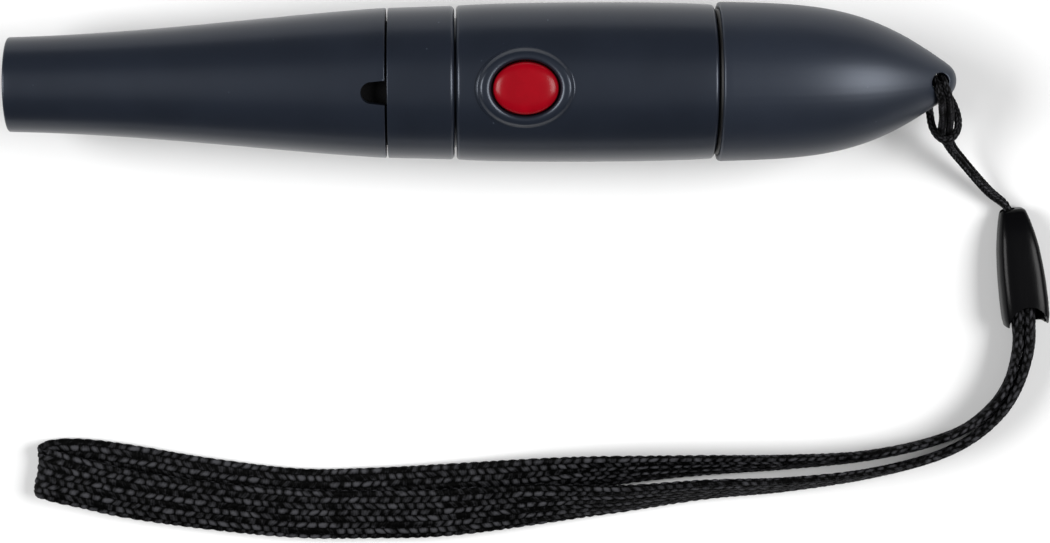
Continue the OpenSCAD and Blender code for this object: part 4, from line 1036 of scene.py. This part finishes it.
class INJECTOR_OT_tail(bpy.types.Operator):
    """Turn the bullet shaped tail cap and bore its lanyard hole"""

    bl_idname = "injector.tail"
    bl_label = "Tail cap"

    def execute(self, context):
        s = shells()
        tip_r, tip_x = s.cap_tip_radius, CAP_X1 - s.cap_tip_radius
        # the rounded tip takes over where the skin is this steep
        open_degrees = 54
        open_angle = math.radians(open_degrees)
        last = (tip_r * math.sin(open_angle), tip_x + tip_r * math.cos(open_angle))
        run = last[1] - CAP_X0
        front_slope = math.tan(math.radians(1.15))
        front, back = 0.465 * run, 0.341 * run
        # the hollow: well of the spring, seat of the contact cup, bore of the thread and pocket
        # of the seal ring
        well, cup, thread, pocket = 4.1 * MM, 6.35 * MM, 8.85 * MM, 10.3 * MM
        well_end, cup_end, thread_end = CAP_X1 - 5.33 * MM, CAP_X1 - 10.1 * MM, CAP_X0 + 11.1 * MM
        outline = [
            (POLE, well_end), (well, well_end), (well, cup_end), (cup, cup_end), (cup, thread_end),
            (thread, thread_end), (thread, CAP_X0 + 2.5 * MM), (pocket, CAP_X0 + 0.95 * MM),
            (pocket, CAP_X0),
        ]
        # the front edge rolls over from the flat face into the skin
        outline += [
            (s.cap_radius - less * MM, CAP_X0 + behind * MM)
            for less, behind in ((0.36, 0), (0.2, 0.04), (0.09, 0.13), (0.03, 0.26))
        ]
        skin = bezier(
            (s.cap_radius, CAP_X0 + 0.5 * MM),
            (s.cap_radius - front_slope * front, CAP_X0 + front),
            (last[0] + back / math.tan(open_angle), last[1] - back),
            last, 48,
        )
        skin += corner(0, tip_x, tip_r, 90 - open_degrees, 90, 14)[1:-1] + [(POLE, CAP_X1)]
        outline += skin
        piece = turned("tail_cap_shell", outline, 192)
        cut(piece, self.spool(skin, CAP_X1 - s.hole_inset, s.hole_radius))
        smooth(piece)
        dress(piece, moulded_abs("cap"), "cap", "shell_plastic", "tail_cap")
        return {"FINISHED"}

    def spool(self, skin, hole_x, radius):
        """Cutter for the lanyard hole: a bore that two core pins with draft leave narrower half
        way, and whose two ends flare where they meet the cap's skin.
        Each ring is extruded at a level that counts from the skin, and then set down on it. The
        flare's rows hold how much wider than the bore it is, and how high over the skin."""
        skin_level = 10
        flare = [(0.5, 2), (0.27, 0.02), (0.2, 0), (0.13, -0.02), (0.07, -0.07), (0.03, -0.14), (0, -0.26),
                 (-0.27, -2.2)]
        steps = [(out, -skin_level - rise) for out, rise in flare]
        steps += [(out, skin_level + rise) for out, rise in flare[::-1]]
        rings = [
            ((hole_x, 0, level * MM), (radius + out * MM, radius + out * MM, 1)) for out, level in steps
        ]
        nothing_selected()
        bpy.ops.mesh.primitive_circle_add(
            vertices=72, radius=rings[0][1][0], location=rings[0][0], fill_type="NGON"
        )
        cutter = fresh("hole_cutter")
        extruded(rings)
        outwards(cutter)
        stations, sizes = [p[1] for p in skin], [p[0] for p in skin]
        for vert in cutter.data.vertices:
            around = float(np.interp(vert.co.x, stations, sizes))
            # past the tip's side the skin ends, and the cutter stays at a level of 1 mm
            on_skin = math.sqrt(max(around**2 - vert.co.y**2, MM * MM))
            high = on_skin + abs(vert.co.z) - skin_level * MM
            vert.co.z = AXIS_Z + math.copysign(high, vert.co.z)
        return cutter


class INJECTOR_OT_button(bpy.types.Operator):
    """Model the crowned oval button with its rounded edge, flange and stem"""

    bl_idname = "injector.button"
    bl_label = "Push button"

    def execute(self, context):
        b = button_sizes()
        a, w = b.button_length / 2, b.button_width / 2
        dome = b.dome_height
        low = BUTTON_BOX[0][2]
        flange_low, flange_high = AXIS_Z + 7.08 * MM, AXIS_Z + 7.88 * MM
        edge_z = AXIS_Z + BUTTON_TOP - dome
        # the stem and the flange under the shell, by how far they lie inside the button's edge
        stem, flange, chamfer = a - 2.9 * MM, -0.93 * MM, 0.12 * MM
        rows = [
            (stem, low), (stem + 0.05 * MM, flange_low), (flange + 0.13 * MM, flange_low),
            (flange, flange_low + chamfer), (flange, flange_high), (0, flange_high),
        ]
        # a full rounded section whose curve never stops, so that its highlights are broad and soft
        fullness = 2.7
        rows += [
            (inset * MM, edge_z + dome * (1 - (1 - inset * MM / w) ** fullness) ** (1 / fullness))
            for inset in (
                0.004, 0.012, 0.03, 0.06, 0.1, 0.16, 0.24, 0.34, 0.46, 0.6, 0.76, 0.94, 1.14, 1.38, 1.66,
                2.0, 2.4, 2.8, 3.2,
            )
        ]
        rings = [((BUTTON_X, 0, level), (a - inset, w - inset, 1)) for inset, level in rows]
        nothing_selected()
        bpy.ops.mesh.primitive_circle_add(
            vertices=128, radius=1, location=rings[0][0], fill_type="NGON"
        )
        piece = fresh("push_button", rings[0][1])
        extruded(rings)
        outwards(piece)
        smooth(piece, 35)
        dress(piece, red_abs(), "button", "button_plastic", "red_button")
        return {"FINISHED"}


class INJECTOR_OT_barrel(bpy.types.Operator):
    """Model the tapered cord barrel with its bore, cord hole and arched mouth"""

    bl_idname = "injector.barrel"
    bl_label = "Cord barrel"

    def execute(self, context):
        n = lanyard()
        wall = n.barrel_wall
        # the small end is rounded in five steps, each given by how much narrower it is
        stations = [self.section(x, less * MM) for x, less in (
            (0.001, 0.72), (0.003, 0.5), (0.007, 0.3), (0.013, 0.14), (0.02, 0.05))]
        stations += [self.section(x) for x in (
            0.03, 0.045, 0.07, 0.1, 0.15, 0.2, 0.27, 0.34, 0.42, 0.5, 0.6, 0.7, 0.78, 0.85, 0.9, 0.94,
            0.965, 0.983, 0.993)]
        (_, low_w, low_h), (_, high_w, high_h), edge = stations[0], stations[-1], 0.3 * MM
        stations = [(0, low_w - edge, low_h - edge)] + stations
        # over the mouth's edge and down the hollow
        stations += [(1, high_w - edge, high_h - edge), (0.996, high_w - 1.8 * wall, high_h - 1.8 * wall)]
        stations += [self.section(x, 2 * wall) for x in (0.97, 0.85, 0.7, 0.5, 0.33, 0.24)]
        rings = [((x * n.barrel_length, 0, self.mid(x)), (1, w, h)) for x, w, h in stations]
        nothing_selected()
        bpy.ops.mesh.primitive_plane_add(size=1, location=rings[0][0], rotation=(0, -math.pi / 2, 0))
        piece = fresh("cord_barrel")
        bpy.ops.object.mode_set(mode="EDIT")
        bpy.ops.mesh.select_all(action="SELECT")
        bpy.ops.transform.resize(value=rings[0][1], center_override=rings[0][0])
        # corners that are rounded nearly to the middle of each side make the square a full oval
        bpy.ops.mesh.bevel(
            affect="VERTICES", offset_type="PERCENT", offset_pct=49.6, segments=18, profile=0.7
        )
        extruded(rings)
        outwards(piece)
        # the arch in the mouth's upper side, and the round way in for the cord
        nothing_selected()
        bpy.ops.mesh.primitive_cylinder_add(
            vertices=64, radius=2.75 * MM, depth=8 * MM, location=(n.barrel_length - 0.1 * MM, 0, 7.2 * MM)
        )
        cut(piece, fresh("arch_cutter"))
        nothing_selected()
        bpy.ops.mesh.primitive_cylinder_add(
            vertices=48, radius=1.1 * MM, depth=9 * MM, location=(3.0 * MM, -0.7 * MM, 1.45 * MM),
            rotation=(0, math.pi / 2, 0),
        )
        cut(piece, fresh("entry_cutter"))
        smooth(piece, 38)
        piece.data.transform(
            Matrix.Translation((*BARREL_AT, 0)) @ Matrix.Rotation(BARREL_HEADING, 4, "Z")
        )
        dress(piece, polished_black_abs(), "cap", "barrel_plastic", "lanyard_barrel")
        return {"FINISHED"}

    def section(self, x, less=0.0):
        """Width and height of the barrel at a share of its length, made less by a size."""
        wide, high = (float(np.interp(x, BARREL_TAPER[:, 0], BARREL_TAPER[:, k])) for k in (1, 2))
        return x, wide * lanyard().barrel_width - less, high * lanyard().barrel_height - less

    def mid(self, x):
        """Height of the barrel's middle over the floor that it lies on."""
        return self.section(x)[2] / 2


class INJECTOR_OT_inside(bpy.types.Operator):
    """Give the pieces inside the lamp their finishes"""

    bl_idname = "injector.inside"
    bl_label = "Inner pieces"

    def execute(self, context):
        dressed = [(grained_finish(*finish, **sockets), nodes) for finish, sockets, nodes in INNER_FINISHES]
        dressed += [
            (self.clear_acrylic(), ["collimator_lens"]),
            (self.lamp_epoxy(), ["led"]),
            (self.green_laminate(), ["driver_board"]),
        ]
        for material, nodes in dressed:
            for name in nodes:
                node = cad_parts[name]
                node.data.materials.clear()
                node.data.materials.append(material)
        return {"FINISHED"}

    def clear_acrylic(self):
        """Cast acrylic, polished: clear, with faint flow lines."""
        material, tree, shader = new_finish(
            "polished_clear_acrylic", linear("#f2f6f8"), 0.04, IOR=1.49, Transmission_Weight=1.0
        )
        grain(tree, shader, 1.2 * MM, 0.01 * MM, 1.0, 0.4)
        return material

    def lamp_epoxy(self):
        """Cast epoxy lamp body: water clear and a little hazy."""
        material, tree, shader = new_finish(
            "cast_clear_epoxy", linear("#eef1ea"), 0.1, IOR=1.54, Transmission_Weight=0.85
        )
        grain(tree, shader, 0.8 * MM, 0.012 * MM, 1.0, 0.4)
        return material

    def green_laminate(self):
        """Glass epoxy laminate with solder mask: glossy green over a faint cloth weave."""
        material, tree, shader = new_finish("solder_masked_laminate", linear("#14532c"), 0.3, IOR=1.5)
        place = add(tree, "ShaderNodeTexCoord")
        weave = add(
            tree, "ShaderNodeTexChecker", {}, {
                "Vector": place.outputs["Object"], "Scale": 1 / (0.9 * MM), "Color1": (*linear("#124c28"), 1),
                "Color2": (*linear("#175d33"), 1),
            },
        )
        tree.links.new(weave.outputs["Color"], shader.inputs["Base Color"])
        return material


# Each row holds what grained_finish asks for, further numbers of the shader, and the nodes
INNER_FINISHES = [
    # nitrile rubber, moulded: dull black with a soft sheen from its oily skin
    (("moulded_nitrile_rubber", 0.55, ("#0d0d0e", "#0a0a0b", "#151516"), 0.2, 0.015, 1.5),
     {"IOR": 1.52}, ["nose_seal", "neck_seal"]),
    # steel strip, nickel plated: bright grey with fine rolling lines
    (("nickel_plated_steel", 0.28, ("#b7b5ae", "#a9a7a0", "#c2c0b9"), 0.12, 0.006, 0.8),
     {"Metallic": 1.0}, ["led_leads", "switch_dome", "switch_cover", "switch_terminals", "cell_terminal",
                         "tail_spring", "strap_crimp"]),
    # spring brass, stamped and left bare: warm yellow, a little brown where it has aged
    (("stamped_spring_brass", 0.3, ("#c8a45a", "#a8843f", "#d3b26a"), 0.15, 0.006, 1.6),
     {"Metallic": 1.0}, ["positive_contact", "ground_strip", "tail_contact_cup"]),
    # glass filled nylon, moulded: matt black with a cloudy skin
    (("moulded_glass_filled_nylon", 0.5, ("#151618", "#121315", "#1d1e20"), 0.3, 0.02, 2.5),
     {"IOR": 1.53}, ["battery_tube", "switch_base", "switch_plunger"]),
    # ABS with vacuum aluminium: a bright mirror, slightly orange peeled
    (("metallised_abs_reflector", 0.14, ("#d9dadc", "#cccdd0", "#e2e3e4"), 0.6, 0.01, 2.0),
     {"Metallic": 1.0}, ["lamp_holder"]),
    # sintered ferrite: charcoal grey and dry, with tiny pits
    (("sintered_ferrite", 0.6, ("#26272a", "#202124", "#303236"), 0.12, 0.03, 0.5),
     {"IOR": 2.0}, ["boost_inductor"]),
    # moulded chip epoxy: matt black with a fine silica grain
    (("moulded_chip_epoxy", 0.62, ("#141416", "#111113", "#1b1b1d"), 0.08, 0.01, 0.4),
     {"IOR": 1.55}, ["driver_chip"]),
    # fired barium titanate: smooth tan ceramic
    (("fired_ceramic_tan", 0.4, ("#9c7444", "#8f6a3c", "#a87f4d"), 0.1, 0.005, 0.6),
     {"IOR": 2.2}, ["board_capacitors"]),
    # shrunk polymer sleeve over the cell's can: satin grey blue with a faint metallic flake
    (("shrunk_cell_sleeve", 0.34, ("#3c4a5c", "#344152", "#455468"), 0.25, 0.008, 3.0),
     {"IOR": 1.5, "Metallic": 0.35}, ["battery_cell"]),
]


class INJECTOR_OT_stage(bpy.types.Operator):
    """Lay the white floor and hang the softboxes"""

    bl_idname = "injector.stage"
    bl_label = "Studio"

    def execute(self, context):
        studio = context.scene.injector_studio
        nothing_selected()
        bpy.ops.mesh.primitive_plane_add(size=studio.floor_size, location=(0, 0, 0))
        floor = fresh("studio_floor")
        bpy.ops.object.mode_set(mode="EDIT")
        bpy.ops.mesh.subdivide(number_cuts=3)
        bpy.ops.object.mode_set(mode="OBJECT")
        # matt white paper: no gloss, and hardly any change of tone
        base = list(studio.floor_colour)
        material, tree, shader = new_finish("matt_white_paper", base, 0.9, Specular_IOR_Level=0.2)
        place = add(tree, "ShaderNodeTexCoord")
        mottled(tree, shader, place, shaded(base, 0.99), shaded(base, 1.01), 0.3)
        floor.data.materials.append(material)
        world = bpy.data.worlds.new("studio_dark")
        world.use_nodes = True
        world.node_tree.nodes["Background"].inputs["Color"].default_value = (0.95, 0.97, 1.0, 1)
        world.node_tree.nodes["Background"].inputs["Strength"].default_value = 0.05
        context.scene.world = world
        # the lights hang a metre from a place on the floor beyond the object, each on its own
        # side and so many degrees from upright
        target = Vector((0.0, 80 * MM, 0.0))
        for name, side, degrees, power, size in (
            ("softbox_right", 1, 46, 12.9, (0.6, 0.5)),
            ("softbox_left", -1, 50, 12.9, (0.6, 0.5)),
            ("overhead_panel", 0, 0, 1.3, (1.2, 1.2)),
        ):
            angle = math.radians(degrees)
            way = Vector((side * math.sin(angle), 0.0, math.cos(angle)))
            data = bpy.data.lights.new(name, "AREA")
            data.shape = "RECTANGLE"
            data.size, data.size_y = size
            data.energy = power
            light = bpy.data.objects.new(name, data)
            context.scene.collection.objects.link(light)
            turn = way.to_track_quat("Z", "Y").to_matrix().to_4x4()
            light.matrix_world = Matrix.Translation(target + way) @ turn
        context.scene.view_settings.view_transform = "Standard"
        context.scene.view_settings.look = "None"
        return {"FINISHED"}


class INJECTOR_PT_panel(bpy.types.Panel):
    """Steps and sizes of the injector"""

    bl_label = "Fibre light injector"
    bl_idname = "INJECTOR_PT_panel"
    bl_space_type = "VIEW_3D"
    bl_region_type = "UI"
    bl_category = "Injector"

    def draw(self, context):
        layout = self.layout
        for operator in STEPS:
            layout.operator(operator.bl_idname)
        for name, group in GROUPS.items():
            box = layout.box()
            for key in group.__annotations__:
                box.prop(getattr(context.scene, name), key)


GROUPS = {
    "injector_shells": InjectorShells,
    "injector_button": InjectorButton,
    "injector_lanyard": InjectorLanyard,
    "injector_studio": InjectorStudio,
}
STEPS = [
    INJECTOR_OT_camera, INJECTOR_OT_cord, INJECTOR_OT_strap, INJECTOR_OT_nose, INJECTOR_OT_collar,
    INJECTOR_OT_body, INJECTOR_OT_tail, INJECTOR_OT_button, INJECTOR_OT_barrel, INJECTOR_OT_inside,
    INJECTOR_OT_stage,
]


def register():
    for group in GROUPS.values():
        bpy.utils.register_class(group)
    for name, group in GROUPS.items():
        setattr(bpy.types.Scene, name, bpy.props.PointerProperty(type=group))
    for operator in STEPS:
        bpy.utils.register_class(operator)
    bpy.utils.register_class(INJECTOR_PT_panel)


def unregister():
    bpy.utils.unregister_class(INJECTOR_PT_panel)
    for operator in reversed(STEPS):
        bpy.utils.unregister_class(operator)
    for name in GROUPS:
        delattr(bpy.types.Scene, name)
    for group in reversed(list(GROUPS.values())):
        bpy.utils.unregister_class(group)


def main():
    register()
    bpy.ops.injector.camera()
    bpy.ops.injector.barrel()
    bpy.ops.injector.cord()
    bpy.ops.injector.strap()
    bpy.ops.injector.nose()
    bpy.ops.injector.collar()
    bpy.ops.injector.body()
    bpy.ops.injector.tail()
    bpy.ops.injector.button()
    bpy.ops.injector.inside()
    bpy.ops.injector.stage()


if __name__ == "__main__":
    main()
